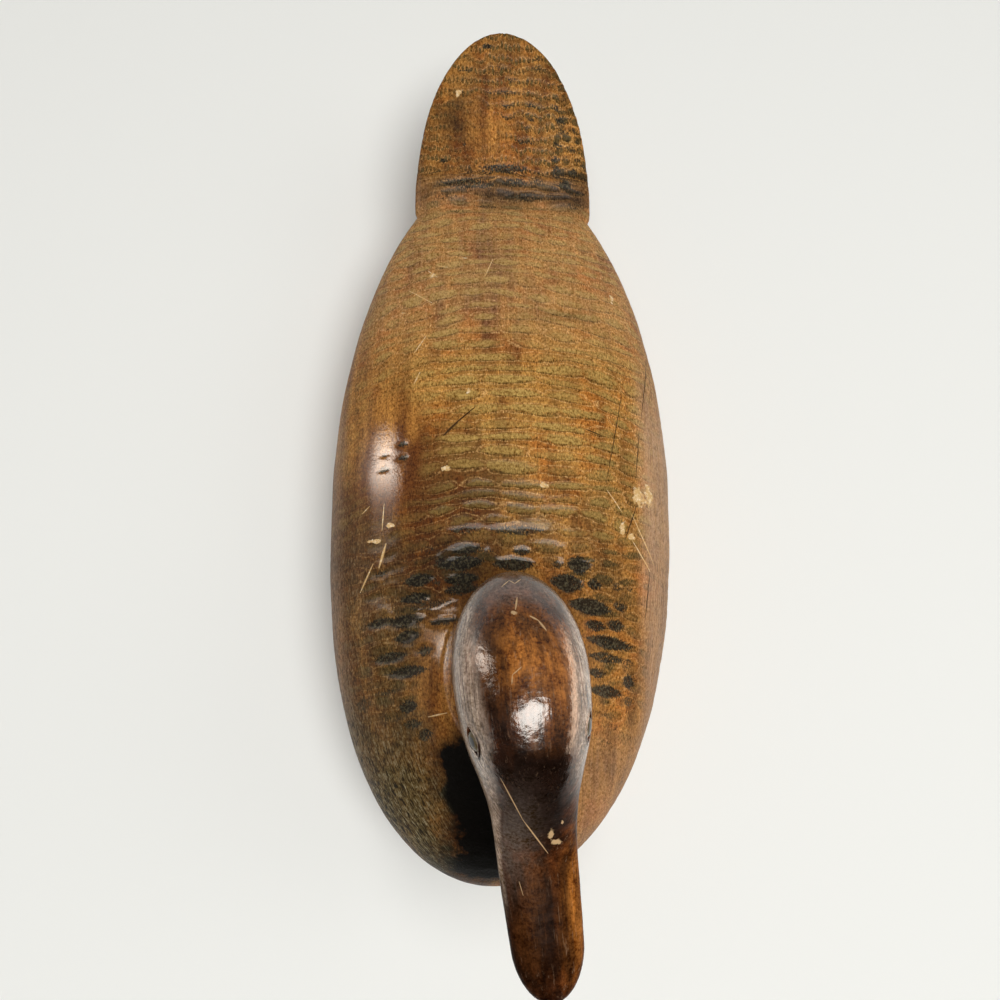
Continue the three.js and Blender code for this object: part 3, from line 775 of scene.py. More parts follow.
# Painted pale sheen on the flank edges, and the paler rump.
paler_and_sheen_amount = add(tree, "ShaderNodeMapRange", {0: grain, 1: 0.3, 2: 0.7, 3: 0.9, 4: 0.4}).outputs[0]
paler_and_sheen_amount = add(tree, "ShaderNodeMath", {0: paler_and_sheen_amount, 1: value["faded"]}, operation="MULTIPLY").outputs[0]
colour = add(
    tree,
    "ShaderNodeMix",
    {0: paler_and_sheen_amount, 6: colour, 7: linear("#c09c7c")},
    data_type="RGBA",
).outputs[2]
# Near-black for the stains and for the painted shadow under the head.
stain_and_shadow_amount = add(tree, "ShaderNodeMapRange", {0: cloud, 1: 0.3, 2: 0.62, 3: 0.35, 4: 1.0}).outputs[0]
stain_and_shadow_amount = add(
    tree,
    "ShaderNodeMath",
    {0: stain_and_shadow_amount, 1: value["stain"]},
    operation="MULTIPLY",
    use_clamp=True,
).outputs[0]
colour = add(
    tree,
    "ShaderNodeMix",
    {0: stain_and_shadow_amount, 6: colour, 7: linear("#070503")},
    data_type="RGBA",
).outputs[2]
hair_at = add(
    tree,
    "ShaderNodeVectorMath",
    {0: layers["contour"].outputs["Vector"], 1: (1 / 0.0006, 1 / 0.0034, 0)},
    operation="MULTIPLY",
).outputs[0]
hair = add(tree, "ShaderNodeTexNoise", {"Vector": hair_at, "Scale": 1.0, "Detail": 4.0, "Distortion": 0.6}).outputs[0]
olive = add(tree, "ShaderNodeMapRange", {0: value["combed"], 1: 0.30, 2: 0.95, 3: 0.0, 4: 0.60}).outputs[0]
colour = add(
    tree,
    "ShaderNodeMix",
    {0: olive, 6: colour, 7: linear("#5d512e")},
    data_type="RGBA",
).outputs[2]
pale_hair = add(tree, "ShaderNodeMapRange", {0: hair, 1: 0.52, 2: 0.66, 3: 0.0, 4: 1.2}).outputs[0]
pale_hair = add(tree, "ShaderNodeMath", {0: pale_hair, 1: olive}, operation="MULTIPLY").outputs[0]
colour = add(
    tree,
    "ShaderNodeMix",
    {0: pale_hair, 6: colour, 7: linear("#8d8162")},
    data_type="RGBA",
).outputs[2]
dark_hair = add(tree, "ShaderNodeMapRange", {0: hair, 1: 0.48, 2: 0.40, 3: 0.0, 4: 1.0}).outputs[0]
dark_hair = add(tree, "ShaderNodeMath", {0: dark_hair, 1: value["combed"]}, operation="MULTIPLY").outputs[0]
colour = add(
    tree,
    "ShaderNodeMix",
    {0: dark_hair, 6: colour, 7: linear("#17140d")},
    data_type="RGBA",
).outputs[2]
frayed = add(tree, "ShaderNodeMath", {0: pore, 1: 1.6, 2: value["pits"]}, operation="MULTIPLY_ADD").outputs[0]
frayed = add(tree, "ShaderNodeMath", {0: speck, 1: 0.8, 2: frayed}, operation="MULTIPLY_ADD").outputs[0]
pit_amount = add(tree, "ShaderNodeMapRange", {0: frayed, 1: 1.50, 2: 1.88, 3: 0.0, 4: 0.97}).outputs[0]
pit_colour = add(
    tree,
    "ShaderNodeMix",
    {0: light_speck, 6: linear("#14110b"), 7: linear("#69624a")},
    data_type="RGBA",
).outputs[2]
colour = add(
    tree,
    "ShaderNodeMix",
    {0: pit_amount, 6: colour, 7: pit_colour},
    data_type="RGBA",
).outputs[2]
mottle = add(tree, "ShaderNodeMath", {0: pore, 1: speck}, operation="ADD").outputs[0]
mottle = add(tree, "ShaderNodeMapRange", {0: mottle, 1: 0.75, 2: 1.25, 3: 1.0, 4: 0.0}).outputs[0]
speck_amount = add(tree, "ShaderNodeMapRange", {0: value["faded"], 3: 1.0, 4: 0.3}).outputs[0]
colour = speckled(tree, colour, mottle, speck_amount)
cracks = straight_marks(tree, flat_at, BODY_CRACKS)
cracks = add(tree, "ShaderNodeMath", {0: cracks, 1: value["above"]}, operation="MULTIPLY").outputs[0]
colour = add(
    tree,
    "ShaderNodeMix",
    {0: cracks, 6: colour, 7: linear("#402a12")},
    data_type="RGBA",
).outputs[2]
rough_edge = add(tree, "ShaderNodeTexNoise", {"Vector": at, "Scale": 520.0, "Detail": 2.0}).outputs[0]
rough_edge = add(tree, "ShaderNodeMapRange", {0: rough_edge, 1: 0.3, 2: 0.7, 3: -0.6, 4: 0.6}).outputs[0]
chips = oval_chips(tree, flat_at, BODY_CHIPS, rough_edge)
scratches = straight_marks(tree, flat_at, BODY_SCRATCHES)
bare = add(tree, "ShaderNodeMath", {0: chips, 1: scratches}, operation="MAXIMUM").outputs[0]
bare = add(tree, "ShaderNodeMath", {0: bare, 1: value["above"]}, operation="MULTIPLY").outputs[0]
bare_colour = add(
    tree,
    "ShaderNodeMix",
    {0: light_speck, 6: linear("#cfa76c"), 7: linear("#f0dcb8")},
    data_type="RGBA",
).outputs[2]
colour = add(
    tree,
    "ShaderNodeMix",
    {0: bare, 6: colour, 7: bare_colour},
    data_type="RGBA",
).outputs[2]

roughness = add(tree, "ShaderNodeMapRange", {0: pore, 1: 0.3, 2: 0.7, 3: 0.40, 4: 0.60}).outputs[0]
relief = add(tree, "ShaderNodeMath", {0: deep, 1: value["sunk"]}, operation="MULTIPLY").outputs[0]
relief = add(tree, "ShaderNodeMath", {0: speck, 1: 1.0, 2: relief}, operation="MULTIPLY_ADD").outputs[0]
relief = add(tree, "ShaderNodeMath", {0: cracks, 1: 1.0, 2: relief}, operation="MULTIPLY_ADD").outputs[0]
relief = add(tree, "ShaderNodeMath", {0: relief, 1: -1.0}, operation="MULTIPLY").outputs[0]
bump = add(tree, "ShaderNodeBump", {"Strength": 0.6, "Distance": 0.0004, "Height": relief}).outputs[0]
film_bump = add(tree, "ShaderNodeBump", {"Strength": 0.12, "Distance": 0.0004, "Height": relief}).outputs[0]
shader = add(
    tree,
    "ShaderNodeBsdfPrincipled",
    {
        "Base Color": colour,
        "Roughness": roughness,
        "Specular IOR Level": 0.06,
        "Normal": bump,
        "Coat Weight": value["gloss"],
        "Coat Roughness": 0.12,
        "Coat IOR": 1.6,
        "Coat Normal": film_bump,
    },
)
add(tree, "ShaderNodeOutputMaterial", {"Surface": shader.outputs[0]})

carving = body.modifiers.new("gouge cuts", "NODES")
carving.node_group = cutting
carving[depth_socket.identifier] = CUT_DEPTH
carving[finish_socket.identifier] = stained_wood
as_plain_mesh(body)
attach(body, "root")
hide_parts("body")

# Head
# Skull, cheeks, neck and bill are a second block, whittled and sanded smooth, turned a little to
# the decoy's left and glued down on the neck seat. A pointed lid is carved round each eye.
NECK_Y, SKULL_Y, HEAD_TURN = -0.084, -0.050, math.radians(7)
HEAD_LENGTH = SKULL_Y - NECK_Y + (NECK_Y + TAIL_TIP) / math.cos(HEAD_TURN)
SKULL_DOME, BILL_DOME = 0.034, 0.019
HEAD_ROWS = np.array(
    [
        # distance from the back of the skull, half width, top, widest level, bottom
        (0.000, 0.0223, 0.1440, 0.1280, 0.1060),
        (SKULL_DOME, 0.0223, 0.1506, 0.1280, 0.1060),
        (0.044, 0.0218, 0.1520, 0.1276, 0.1046),
        (0.056, 0.0198, 0.1503, 0.1265, 0.1028),
        (0.066, 0.0168, 0.1447, 0.1240, 0.1020),
        (0.076, 0.0146, 0.1353, 0.1190, 0.1025),
        (0.086, 0.0138, 0.1238, 0.1135, 0.1030),
        (0.098, 0.0135, 0.1155, 0.1095, 0.1020),
        (HEAD_LENGTH - BILL_DOME, 0.0124, 0.1135, 0.1075, 0.1010),
        (HEAD_LENGTH, 0.0116, 0.1110, 0.1050, 0.1005),
    ]
)
NECK_ROWS = np.array(
    [
        # height, centre along the decoy, half length, half width
        (SEAT_HEIGHT + 0.0003, -0.0830, 0.0280, 0.0215),
        (0.092, -0.0825, 0.0260, 0.0196),
        (0.099, -0.0820, 0.0255, 0.0184),
        (0.107, -0.0815, 0.0265, 0.0184),
        (0.115, -0.0810, 0.0285, 0.0190),
        (0.122, -0.0810, 0.0295, 0.0195),
        (0.134, -0.0820, 0.0260, 0.0185),
    ]
)
HEAD_VOXEL = 0.0006
EYE_RADIUS, EYE_DEPTH, EYE_DOME, EYE_PROUD = 0.0039, 0.0034, 0.0016, 0.0006
EYE_S, EYE_Z, EYE_FORWARD, EYE_UP = 0.0523, 0.1386, 0.20, 0.42
LID_HALF_LONG, LID_HALF_HIGH, LID_RAISED, SOCKET_DEEP = 0.0048, 0.0023, 0.00035, 0.0008


def through_rows(rows, key, x):
    """A smooth curve of column key against column 0, which never overshoots the rows."""
    at, values = rows[:, 0], rows[:, key]
    step = np.diff(at)
    slope = np.diff(values) / step
    tangent = np.empty(len(at))
    tangent[0], tangent[-1] = slope[0], slope[-1]
    for n in range(1, len(at) - 1):
        before, after = 2 * step[n] + step[n - 1], step[n] + 2 * step[n - 1]
        if slope[n - 1] * slope[n] <= 0:
            tangent[n] = 0
        else:
            tangent[n] = (before + after) / (before / slope[n - 1] + after / slope[n])
    k = np.clip(np.searchsorted(at, x, side="right") - 1, 0, len(at) - 2)
    t = (x - at[k]) / step[k]
    blend = t * t * (3 - 2 * t)
    bend = t * (1 - t) * ((1 - t) * tangent[k] - t * tangent[k + 1])
    return values[k] * (1 - blend) + values[k + 1] * blend + bend * step[k]


def turned_head(points):
    """Points of the straight head, turned about the middle of the neck and set on the bowed body."""
    local = np.asarray(points) - (0, NECK_Y, 0)
    cos, sin = math.cos(HEAD_TURN), math.sin(HEAD_TURN)
    turned = local @ np.array([[cos, sin, 0], [-sin, cos, 0], [0, 0, 1]])
    return turned + (bowed(NECK_Y), NECK_Y, 0)


def eye_frame(side):
    """Where an eye's rim is on the straight head, and the directions forward, up and out of it."""
    level, top = through_rows(HEAD_ROWS, 3, EYE_S), through_rows(HEAD_ROWS, 2, EYE_S)
    height = (EYE_Z - level) / (top - level)
    skin_x = through_rows(HEAD_ROWS, 1, EYE_S) * (1 - height ** 2.1) ** (1 / 2.1)
    outward = np.array([side, -EYE_FORWARD, EYE_UP])
    outward /= np.linalg.norm(outward)
    forward = np.array([0, -1, 0]) + outward * outward[1]
    forward /= np.linalg.norm(forward)
    upward = np.cross(outward, forward) * -side
    skin_at = np.array([skin_x * side, SKULL_Y - EYE_S, EYE_Z])
    return skin_at, forward, upward, outward


def relaxed(points, edges, strength):
    """Points moved towards the middle of their neighbours, each by its own strength."""
    count = np.bincount(edges.ravel(), minlength=len(points))
    middle = np.empty_like(points)
    for axis in range(3):
        to_first = np.bincount(edges[:, 0], points[edges[:, 1], axis], len(points))
        to_second = np.bincount(edges[:, 1], points[edges[:, 0], axis], len(points))
        middle[:, axis] = (to_first + to_second) / count
    return points + (middle - points) * np.reshape(strength, (-1, 1))


def points_of(mesh):
    flat = np.empty(len(mesh.vertices) * 3, dtype=np.float32)
    mesh.vertices.foreach_get("co", flat)
    return flat.reshape(-1, 3).astype(float)


distance = HEAD_LENGTH * (1 + np.cos(np.linspace(0, math.pi, 150))) / 2
angle, s = np.meshgrid(np.linspace(0, 2 * math.pi, 96, endpoint=False), distance)
back = np.clip((SKULL_DOME - s) / SKULL_DOME, 0, 1)
front = np.clip((s - HEAD_LENGTH + BILL_DOME) / BILL_DOME, 0, 1)
dome = np.sqrt(np.clip(1 - back ** 2, 0, 1)) * np.sqrt(np.clip(1 - front ** 2, 0, 1))
level = through_rows(HEAD_ROWS, 3, s)
up = np.sin(angle) >= 0
rise = np.where(up, through_rows(HEAD_ROWS, 2, s) - level, level - through_rows(HEAD_ROWS, 4, s))
reach = ray_to_section(through_rows(HEAD_ROWS, 1, s) * dome, rise * dome, np.where(up, 2.1, 2.3), angle)
reach[[0, -1]] = 0
skull = np.stack([reach * np.cos(angle), SKULL_Y - s, level + reach * np.sin(angle)], axis=-1)

height = np.linspace(NECK_ROWS[0, 0], NECK_ROWS[-1, 0], 60)
height = np.concatenate([height[:1], height, height[-1:]])
angle, z = np.meshgrid(np.linspace(0, 2 * math.pi, 96, endpoint=False), height)
neck_x = through_rows(NECK_ROWS, 3, z) * np.cos(angle)
neck_y = through_rows(NECK_ROWS, 2, z) * np.sin(angle)
neck_x[[0, -1]] = neck_y[[0, -1]] = 0
neck_rings = np.stack([neck_x, through_rows(NECK_ROWS, 1, z) + neck_y, z], axis=-1)[::-1]

head = piece_of("carved_head", skin("carved_head", skull))
neck = piece_of("neck", skin("neck", neck_rings))
join = head.modifiers.new("join", "BOOLEAN")
join.operation, join.solver, join.object = "UNION", "EXACT", neck
remesh = head.modifiers.new("remesh", "REMESH")
remesh.mode, remesh.voxel_size = "VOXEL", HEAD_VOXEL
as_plain_mesh(head)
bpy.data.objects.remove(neck)

# The knife's marks are sanded away, most of all where the cheeks run down into the neck.
points = points_of(head.data)
edges = np.array([edge.vertices[:] for edge in head.data.edges])
foot = ease(points[:, 2], 0.0885, 0.0905)
by_neck = (points[:, 0] / 0.027) ** 2 + ((points[:, 1] + 0.081) / 0.038) ** 2
throat = ease(points[:, 2], 0.098, 0.104) * ease(points[:, 2], 0.124, 0.116) * ease(by_neck, 1.5, 1.0)
for turn_number in range(10):
    points = relaxed(points, edges, 0.5 * foot)
for turn_number in range(60):
    points = relaxed(points, edges, 0.6 * throat)
head.data.vertices.foreach_set("co", points.astype(np.float32).ravel())

# The wood round the eyes has finer faces, so that the lids can be carved in it.
fine = bmesh.new()
fine.from_mesh(head.data)
round_eyes = []
for side in (1, -1):
    skin_at = Vector(eye_frame(side)[0])
    round_eyes += [edge for edge in fine.edges if (edge.verts[0].co - skin_at).length < 0.0088]
bmesh.ops.subdivide_edges(fine, edges=round_eyes, cuts=2, use_grid_fill=True)
bmesh.ops.recalc_face_normals(fine, faces=fine.faces)
fine.to_mesh(head.data)
fine.free()

points = points_of(head.data)
for side in (1, -1):
    skin_at, forward, upward, outward = eye_frame(side)
    local = points - skin_at
    ahead, high, out = local @ forward, local @ upward, local @ outward
    opening = np.abs(high) / LID_HALF_HIGH + (ahead / LID_HALF_LONG) ** 2
    here = (np.abs(out) < 0.006) & (opening < 4)
    lid = LID_RAISED * np.exp(-(((opening - 1.22) / 0.30) ** 2))
    pit = SOCKET_DEEP * ease(opening, 1.08, 0.86)
    points += np.where(here, lid - pit, 0)[:, None] * outward

# What the finish follows: the block's own grain, its worn and dulled places, the painted sheen,
# reflections and shade, and its upper side.
head.data.vertices.foreach_set("co", turned_head(points).astype(np.float32).ravel())
head.data.update()
facing_up = np.array([vertex.normal.z for vertex in head.data.vertices])
placed = points_of(head.data)
x, y, z = placed.T
tanned = 1.0 * blot(x, y, -0.0045, -0.078, 0.012, 0.013) + 0.35 * blot(x, y, 0.002, -0.112, 0.006, 0.010)
tanned += 0.8 * blot(x, y, 0.0185, -0.158, 0.0045, 0.020) + 0.35 * blot(x, y, 0.004, -0.160, 0.006, 0.020)
tanned += 0.5 * blot(x, y, 0.009, -0.086, 0.006, 0.016)
# Painted sheen: grey at the back of the skull and at the foot of the forehead, where the varnish is also rougher.
dull_and_sheen = ease(y, -0.066, -0.056) * ease(z, 0.100, 0.120) + 1.1 * blot(x, y, -0.004, -0.136, 0.008, 0.014)
gloss = ease(y, -0.128, -0.108)  # the bill's varnish is thinner and duller
gloss *= 1 - 0.85 * blot(x, y, -0.0130, -0.092, 0.008, 0.013)
gloss *= 1 - 0.6 * blot(x, y, 0.0040, -0.113, 0.011, 0.010)
gloss *= 1 - 0.5 * blot(x, y, -0.0110, -0.081, 0.007, 0.012)
dark = 0.7 * ease(y, -0.140, -0.155) * ease(x, 0.016, 0.010)
dark += 0.55 * ease(np.abs(x + 0.012), 0.007, 0.003) * ease(y, -0.062, -0.070) * ease(y, -0.125, -0.110)
# Painted shade: the forehead is painted darker.
dark += 1.0 * ease(y, -0.098, -0.110) * ease(y, -0.150, -0.130) * ease(np.abs(x - 0.003), 0.014, 0.007)
facing_left = np.array([vertex.normal.x for vertex in head.data.vertices])
# Painted reflection: pale streaked bands down the cheeks where they turn steeply to the sides.
cheek_reflection = ease(facing_left, 0.55, 0.85) * ease(y, -0.125, -0.100) + 0.75 * ease(facing_left, -0.60, -0.80)
cheek_reflection *= ease(y, -0.165, -0.145)
cheek_reflection *= ease(z - through_rows(HEAD_ROWS, 3, SKULL_Y - points[:, 1]), -0.018, -0.003)
upper = ease(facing_up, 0.0, 0.25)
layers = {"tanned": tanned, "dark": dark, "dull_and_sheen": dull_and_sheen, "cheek_reflection": cheek_reflection, "gloss": gloss, "upper": upper}
for key, layer in layers.items():
    stored = head.data.attributes.new(key, "FLOAT", "POINT")
    stored.data.foreach_set("value", np.clip(layer, 0, 1).astype(np.float32))
stored = head.data.attributes.new("grain_at", "FLOAT_VECTOR", "POINT")
stored.data.foreach_set("vector", points.astype(np.float32).ravel())

# Softwood under dark walnut stain and gloss varnish: nearly black with reddish brown streaks
# along the grain, and a wet shine that handling has dulled at the back of the skull. A grey sheen
# is painted there and at the foot of the forehead, pale reflections down the cheeks, and shade on
# the forehead.
HEAD_SCRATCHES = [
    ((-0.0085, -0.1150), (-0.0007, -0.1285), 0.00016),
    ((-0.0007, -0.1285), (0.0088, -0.1407), 0.00022),
    ((0.0004, -0.0660), (0.0030, -0.0674), 0.00030),
    ((0.0030, -0.0674), (0.0054, -0.0705), 0.00034),
    ((-0.0032, -0.0600), (-0.0040, -0.0640), 0.00030),
    ((-0.0080, -0.0564), (-0.0053, -0.0540), 0.00016),
    ((-0.0053, -0.0540), (-0.0036, -0.0552), 0.00016),
    ((-0.0036, -0.0552), (-0.0014, -0.0535), 0.00016),
    ((-0.0058, -0.0870), (-0.0056, -0.0842), 0.00016),
    ((-0.0056, -0.0842), (-0.0028, -0.0818), 0.00016),
    ((-0.0002, -0.1500), (0.0012, -0.1545), 0.00010),
]
HEAD_CHIPS = [
    (0.0112, -0.1368, 0.0017, 0.0009),
    (0.0091, -0.1340, 0.0009, 0.0017),
    (0.0124, -0.1300, 0.0004, 0.0006),
    (-0.0044, -0.0650, 0.0009, 0.0006),
]

varnished, tree = new_material("dark stained and varnished softwood")
at = add(tree, "ShaderNodeTexCoord").outputs["Object"]
flat_at = add(tree, "ShaderNodeVectorMath", {0: at, 1: (1, 1, 0)}, operation="MULTIPLY").outputs[0]
grain_from = add(tree, "ShaderNodeAttribute", attribute_name="grain_at").outputs["Vector"]
value = {
    name: add(tree, "ShaderNodeAttribute", attribute_name=name).outputs["Fac"]
    for name in ("tanned", "dark", "dull_and_sheen", "cheek_reflection", "gloss", "upper")
}
fibre_at = add(tree, "ShaderNodeVectorMath", {0: grain_from, 1: (1500, 70, 1500)}, operation="MULTIPLY").outputs[0]
fibre = add(tree, "ShaderNodeTexNoise", {"Vector": fibre_at, "Scale": 1.0, "Detail": 3.0}).outputs[0]
streak_at = add(tree, "ShaderNodeVectorMath", {0: grain_from, 1: (330, 38, 330)}, operation="MULTIPLY").outputs[0]
streak = add(tree, "ShaderNodeTexNoise", {"Vector": streak_at, "Scale": 1.0, "Detail": 4.0}).outputs[0]
cloud = add(tree, "ShaderNodeTexNoise", {"Vector": at, "Scale": 210.0, "Detail": 4.0, "Roughness": 0.65}).outputs[0]
speck = add(tree, "ShaderNodeTexNoise", {"Vector": at, "Scale": 1100.0, "Detail": 4.0, "Roughness": 0.65}).outputs[0]

brown_amount = add(tree, "ShaderNodeMapRange", {0: streak, 1: 0.40, 2: 0.66, 3: 0.0, 4: 0.75}).outputs[0]
colour = add(
    tree,
    "ShaderNodeMix",
    {0: brown_amount, 6: linear("#28140a"), 7: linear("#5e2f13")},
    data_type="RGBA",
).outputs[2]
tan_amount = add(tree, "ShaderNodeMapRange", {0: streak, 1: 0.34, 2: 0.60, 3: 0.35, 4: 1.0}).outputs[0]
tan_amount = add(tree, "ShaderNodeMath", {0: tan_amount, 1: value["tanned"]}, operation="MULTIPLY").outputs[0]
colour = add(
    tree,
    "ShaderNodeMix",
    {0: tan_amount, 6: colour, 7: linear("#aa6828")},
    data_type="RGBA",
).outputs[2]
fibre_amount = add(tree, "ShaderNodeMapRange", {0: fibre, 1: 0.52, 2: 0.72, 3: 0.0, 4: 0.55}).outputs[0]
colour = add(
    tree,
    "ShaderNodeMix",
    {0: fibre_amount, 6: colour, 7: linear("#150a05")},
    data_type="RGBA",
).outputs[2]
# Darker places, among them the forehead's painted shade.
colour = add(
    tree,
    "ShaderNodeMix",
    {0: value["dark"], 6: colour, 7: linear("#180b05")},
    data_type="RGBA",
).outputs[2]
# Painted grey sheen.
sheen_amount = add(tree, "ShaderNodeMapRange", {0: cloud, 1: 0.3, 2: 0.7, 3: 0.15, 4: 0.45}).outputs[0]
sheen_amount = add(tree, "ShaderNodeMath", {0: sheen_amount, 1: value["dull_and_sheen"]}, operation="MULTIPLY").outputs[0]
colour = add(
    tree,
    "ShaderNodeMix",
    {0: sheen_amount, 6: colour, 7: linear("#8a7868")},
    data_type="RGBA",
).outputs[2]
# Painted reflection down the cheeks.
cheek_reflection_amount = add(tree, "ShaderNodeMapRange", {0: fibre, 1: 0.35, 2: 0.62, 3: 0.15, 4: 0.95}).outputs[0]
cheek_reflection_amount = add(tree, "ShaderNodeMath", {0: cheek_reflection_amount, 1: value["cheek_reflection"]}, operation="MULTIPLY").outputs[0]
colour = add(
    tree,
    "ShaderNodeMix",
    {0: cheek_reflection_amount, 6: colour, 7: linear("#c8ac8f")},
    data_type="RGBA",
).outputs[2]
mottle = add(tree, "ShaderNodeMath", {0: speck, 1: 0.6, 2: 0.2}, operation="MULTIPLY_ADD").outputs[0]
mottle = add(tree, "ShaderNodeMath", {0: cloud, 1: 0.6, 2: mottle}, operation="MULTIPLY_ADD").outputs[0]
mottle = add(tree, "ShaderNodeMapRange", {0: mottle, 1: 0.66, 2: 0.94, 3: 1.0, 4: 0.0}).outputs[0]
colour = speckled(tree, colour, mottle)
scuff_at = add(tree, "ShaderNodeVectorMath", {0: grain_from, 1: (900, 45, 900)}, operation="MULTIPLY").outputs[0]
scuff = add(tree, "ShaderNodeTexNoise", {"Vector": scuff_at, "Scale": 1.0, "Detail": 5.0, "Roughness": 0.7}).outputs[0]
scuff = add(tree, "ShaderNodeMapRange", {0: scuff, 1: 0.58, 2: 0.74, 3: 0.0, 4: 0.55}).outputs[0]
shown = add(tree, "ShaderNodeMapRange", {0: value["dark"], 3: 1.0, 4: 0.3}).outputs[0]
scuff = add(tree, "ShaderNodeMath", {0: scuff, 1: shown}, operation="MULTIPLY").outputs[0]
colour = add(
    tree,
    "ShaderNodeMix",
    {0: scuff, 6: colour, 7: linear("#a38467")},
    data_type="RGBA",
).outputs[2]
rough_edge = add(tree, "ShaderNodeMapRange", {0: speck, 1: 0.3, 2: 0.7, 3: -0.4, 4: 0.4}).outputs[0]
chips = oval_chips(tree, flat_at, HEAD_CHIPS, rough_edge)
scratches = straight_marks(tree, flat_at, HEAD_SCRATCHES)
bare = add(tree, "ShaderNodeMath", {0: chips, 1: scratches}, operation="MAXIMUM").outputs[0]
bare = add(tree, "ShaderNodeMath", {0: bare, 1: value["upper"]}, operation="MULTIPLY").outputs[0]
colour = add(
    tree,
    "ShaderNodeMix",
    {0: bare, 6: colour, 7: linear("#bf9d72")},
    data_type="RGBA",
).outputs[2]
roughness = add(tree, "ShaderNodeMapRange", {0: value["dull_and_sheen"], 3: 0.30, 4: 0.55}).outputs[0]
uneven = add(tree, "ShaderNodeTexNoise", {"Vector": grain_from, "Scale": 420.0, "Detail": 3.0}).outputs[0]
relief = add(tree, "ShaderNodeMath", {0: fibre, 1: -0.25, 2: uneven}, operation="MULTIPLY_ADD").outputs[0]
bump = add(tree, "ShaderNodeBump", {"Strength": 0.45, "Distance": 0.0004, "Height": relief}).outputs[0]
shader = add(
    tree,
    "ShaderNodeBsdfPrincipled",
    {
        "Base Color": colour,
        "Roughness": roughness,
        "Specular IOR Level": 0.02,
        "Normal": bump,
        "Coat Weight": value["gloss"],
        "Coat Roughness": 0.18,
        "Coat IOR": 1.9,
        "Coat Normal": bump,
    },
)
add(tree, "ShaderNodeOutputMaterial", {"Surface": shader.outputs[0]})
head.data.materials.clear()
head.data.materials.append(varnished)
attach(head, "root")
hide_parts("head")

# Eyes
# Each is a short plug of clear glass with a domed front, painted behind with an olive brown iris
# and a black pupil, and puttied into a bored hole under the carved lid.
EYE_SIDES = 48

t = np.linspace(0, 1, 15)[::-1]
dome_r = (1 - t) ** 2 * EYE_RADIUS + 2 * t * (1 - t) * 0.78 * EYE_RADIUS
dome_h = 2 * t * (1 - t) * EYE_DOME + t ** 2 * EYE_DOME
profile_r = np.concatenate([dome_r, [EYE_RADIUS, EYE_RADIUS, 0.7 * EYE_RADIUS, 0]])
profile_h = np.concatenate([dome_h, [-0.0006, -EYE_DEPTH, -EYE_DEPTH, -EYE_DEPTH]])
from_middle = profile_r / EYE_RADIUS
from_middle[len(dome_r) :] = 1
turned = np.linspace(0, 2 * math.pi, EYE_SIDES, endpoint=False)

eye_glass, tree = new_material("painted glass")
middle = add(tree, "ShaderNodeAttribute", attribute_name="from_middle").outputs["Fac"]
at = add(tree, "ShaderNodeTexCoord").outputs["Object"]
fleck = add(tree, "ShaderNodeTexNoise", {"Vector": at, "Scale": 1400.0, "Detail": 2.0}).outputs[0]
iris = add(
    tree,
    "ShaderNodeMix",
    {0: fleck, 6: linear("#33270f"), 7: linear("#5d4a1f")},
    data_type="RGBA",
).outputs[2]
pupil = add(tree, "ShaderNodeMapRange", {0: middle, 1: 0.44, 2: 0.40, 3: 0.0, 4: 1.0}).outputs[0]
colour = add(tree, "ShaderNodeMix", {0: pupil, 6: iris, 7: linear("#050403")}, data_type="RGBA").outputs[2]
rim = add(tree, "ShaderNodeMapRange", {0: middle, 1: 0.80, 2: 0.92, 3: 0.0, 4: 1.0}).outputs[0]
colour = add(tree, "ShaderNodeMix", {0: rim, 6: colour, 7: linear("#120c06")}, data_type="RGBA").outputs[2]
shader = add(
    tree,
    "ShaderNodeBsdfPrincipled",
    {"Base Color": colour, "Roughness": 0.12, "Specular IOR Level": 0.2, "Coat Weight": 0.3, "Coat Roughness": 0.02},
)
add(tree, "ShaderNodeOutputMaterial", {"Surface": shader.outputs[0]})

for node, side in (("eye_left", 1), ("eye_right", -1)):
    skin_at, forward, upward, outward = eye_frame(side)
    rim_at = skin_at + outward * (EYE_PROUD - EYE_DOME)
    second = np.cross(outward, forward)
    spokes = np.cos(turned)[:, None] * forward + np.sin(turned)[:, None] * second
    rings = rim_at + profile_r[:, None, None] * spokes + profile_h[:, None, None] * outward
    layer = np.repeat(from_middle[:, None], EYE_SIDES, axis=1)
    name = "glass_" + node
    eye = piece_of(name, skin(name, turned_head(rings), {"from_middle": layer}))
    eye.data.materials.append(eye_glass)
    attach(eye, "root")
    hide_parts(node)

# Floor and light
# The decoy stands on plain matt white paper in a dim room. One soft light hangs above it and a
# little in front, a wide pale one is on its left-hand side, and pale walls stand at eye level.
FLOOR_HALF, FLOOR_DROP = 3.0, 0.0002
corners = [(-1, -1), (1, -1), (1, 1), (-1, 1)]
floor_mesh = bpy.data.meshes.new("floor")
floor_mesh.from_pydata([(FLOOR_HALF * i, FLOOR_HALF * j, -FLOOR_DROP) for i, j in corners], [], [(0, 1, 2, 3)])
floor = piece_of("floor", floor_mesh)
paper, tree = new_material("matt white paper")
shader = add(tree, "ShaderNodeBsdfPrincipled", {"Base Color": linear("#efefea"), "Roughness": 0.9})
add(tree, "ShaderNodeOutputMaterial", {"Surface": shader.outputs[0]})
floor.data.materials.append(paper)


def soft_light(name, toward, distance, wide, high, power, tint="#ffffff"):
    """A soft box that shines on the decoy from the direction toward."""
    lamp = bpy.data.lights.new(name, "AREA")
    lamp.shape, lamp.size, lamp.size_y, lamp.energy = "ELLIPSE", wide, high, power
    lamp.color = linear(tint)[:3]
    light = bpy.data.objects.new(name, lamp)
    scene.collection.objects.link(light)
    direction = Vector(toward).normalized()
    light.location = direction * distance
    light.rotation_euler = direction.to_track_quat("Z", "Y").to_euler()
    return light


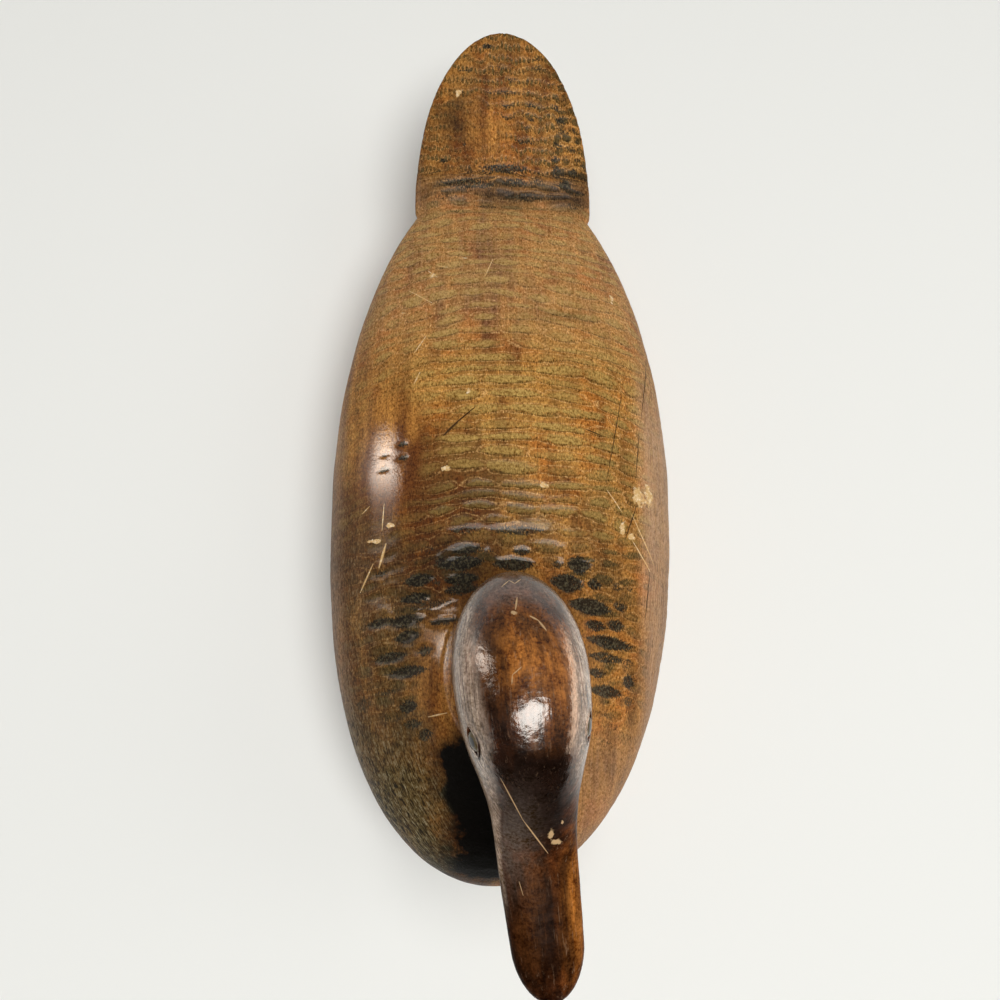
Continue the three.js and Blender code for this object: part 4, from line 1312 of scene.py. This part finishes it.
ceiling = soft_light("ceiling", (0.10, -0.23, 0.97), 2.4, 1.90, 1.40, 54)
ceiling.visible_glossy = False
skylight = soft_light("skylight", (0.06, -0.16, 0.98), 2.4, 2.20, 1.15, 60, "#fffaf2")
skylight.visible_diffuse = False
right_fill = soft_light("right fill", (0.75, 0.10, 0.65), 3.0, 2.0, 2.0, 9)
right_fill.visible_glossy = False
window = soft_light("window", (-0.84, 0.20, 0.48), 1.4, 0.36, 0.58, 7.6, "#ffeedd")
window.visible_diffuse = False
left_strip = soft_light("left strip", (-0.98, -0.06, 0.17), 1.4, 1.8, 0.45, 4, "#fff0e0")
right_strip = soft_light("right strip", (0.98, 0.0, 0.11), 1.4, 1.8, 0.30, 7, "#ffdcbc")
left_strip.visible_diffuse = right_strip.visible_diffuse = False

# A black card in front keeps the pale room out of the forehead's and the bill's shine.
card_x, card_y, card_top = 0.55, -0.42, 0.60
corners = [(-card_x, 0), (card_x, 0), (card_x, card_top), (-card_x, card_top)]
card_mesh = bpy.data.meshes.new("black_card")
card_mesh.from_pydata([(x, card_y, z) for x, z in corners], [], [(0, 1, 2, 3)])
card = piece_of("black_card", card_mesh)
felt, tree = new_material("black felt")
shader = add(tree, "ShaderNodeBsdfPrincipled", {"Base Color": linear("#050505"), "Roughness": 1.0})
add(tree, "ShaderNodeOutputMaterial", {"Surface": shader.outputs[0]})
card_mesh.materials.append(felt)
card.visible_camera = card.visible_diffuse = card.visible_shadow = False

room = bpy.data.worlds.new("room")
scene.world = room
room.use_nodes = True
tree = room.node_tree
tree.nodes.clear()
toward = add(tree, "ShaderNodeTexCoord").outputs["Generated"]
part = add(tree, "ShaderNodeSeparateXYZ", {0: toward})
low = add(tree, "ShaderNodeMapRange", {0: part.outputs[2], 1: 0.16, 2: 0.34, 3: 1.0, 4: 0.0}).outputs[0]
behind = add(tree, "ShaderNodeMapRange", {0: part.outputs[1], 1: -0.3, 2: 0.8, 3: 0.0, 4: 0.5}).outputs[0]
glow = add(tree, "ShaderNodeMath", {0: behind, 1: low, 2: 0.09}, operation="MULTIPLY_ADD").outputs[0]
walls = add(tree, "ShaderNodeBackground", {"Color": linear("#ffffff"), "Strength": glow})
add(tree, "ShaderNodeOutputWorld", {"Surface": walls.outputs[0]})

scene.view_settings.view_transform = "Standard"
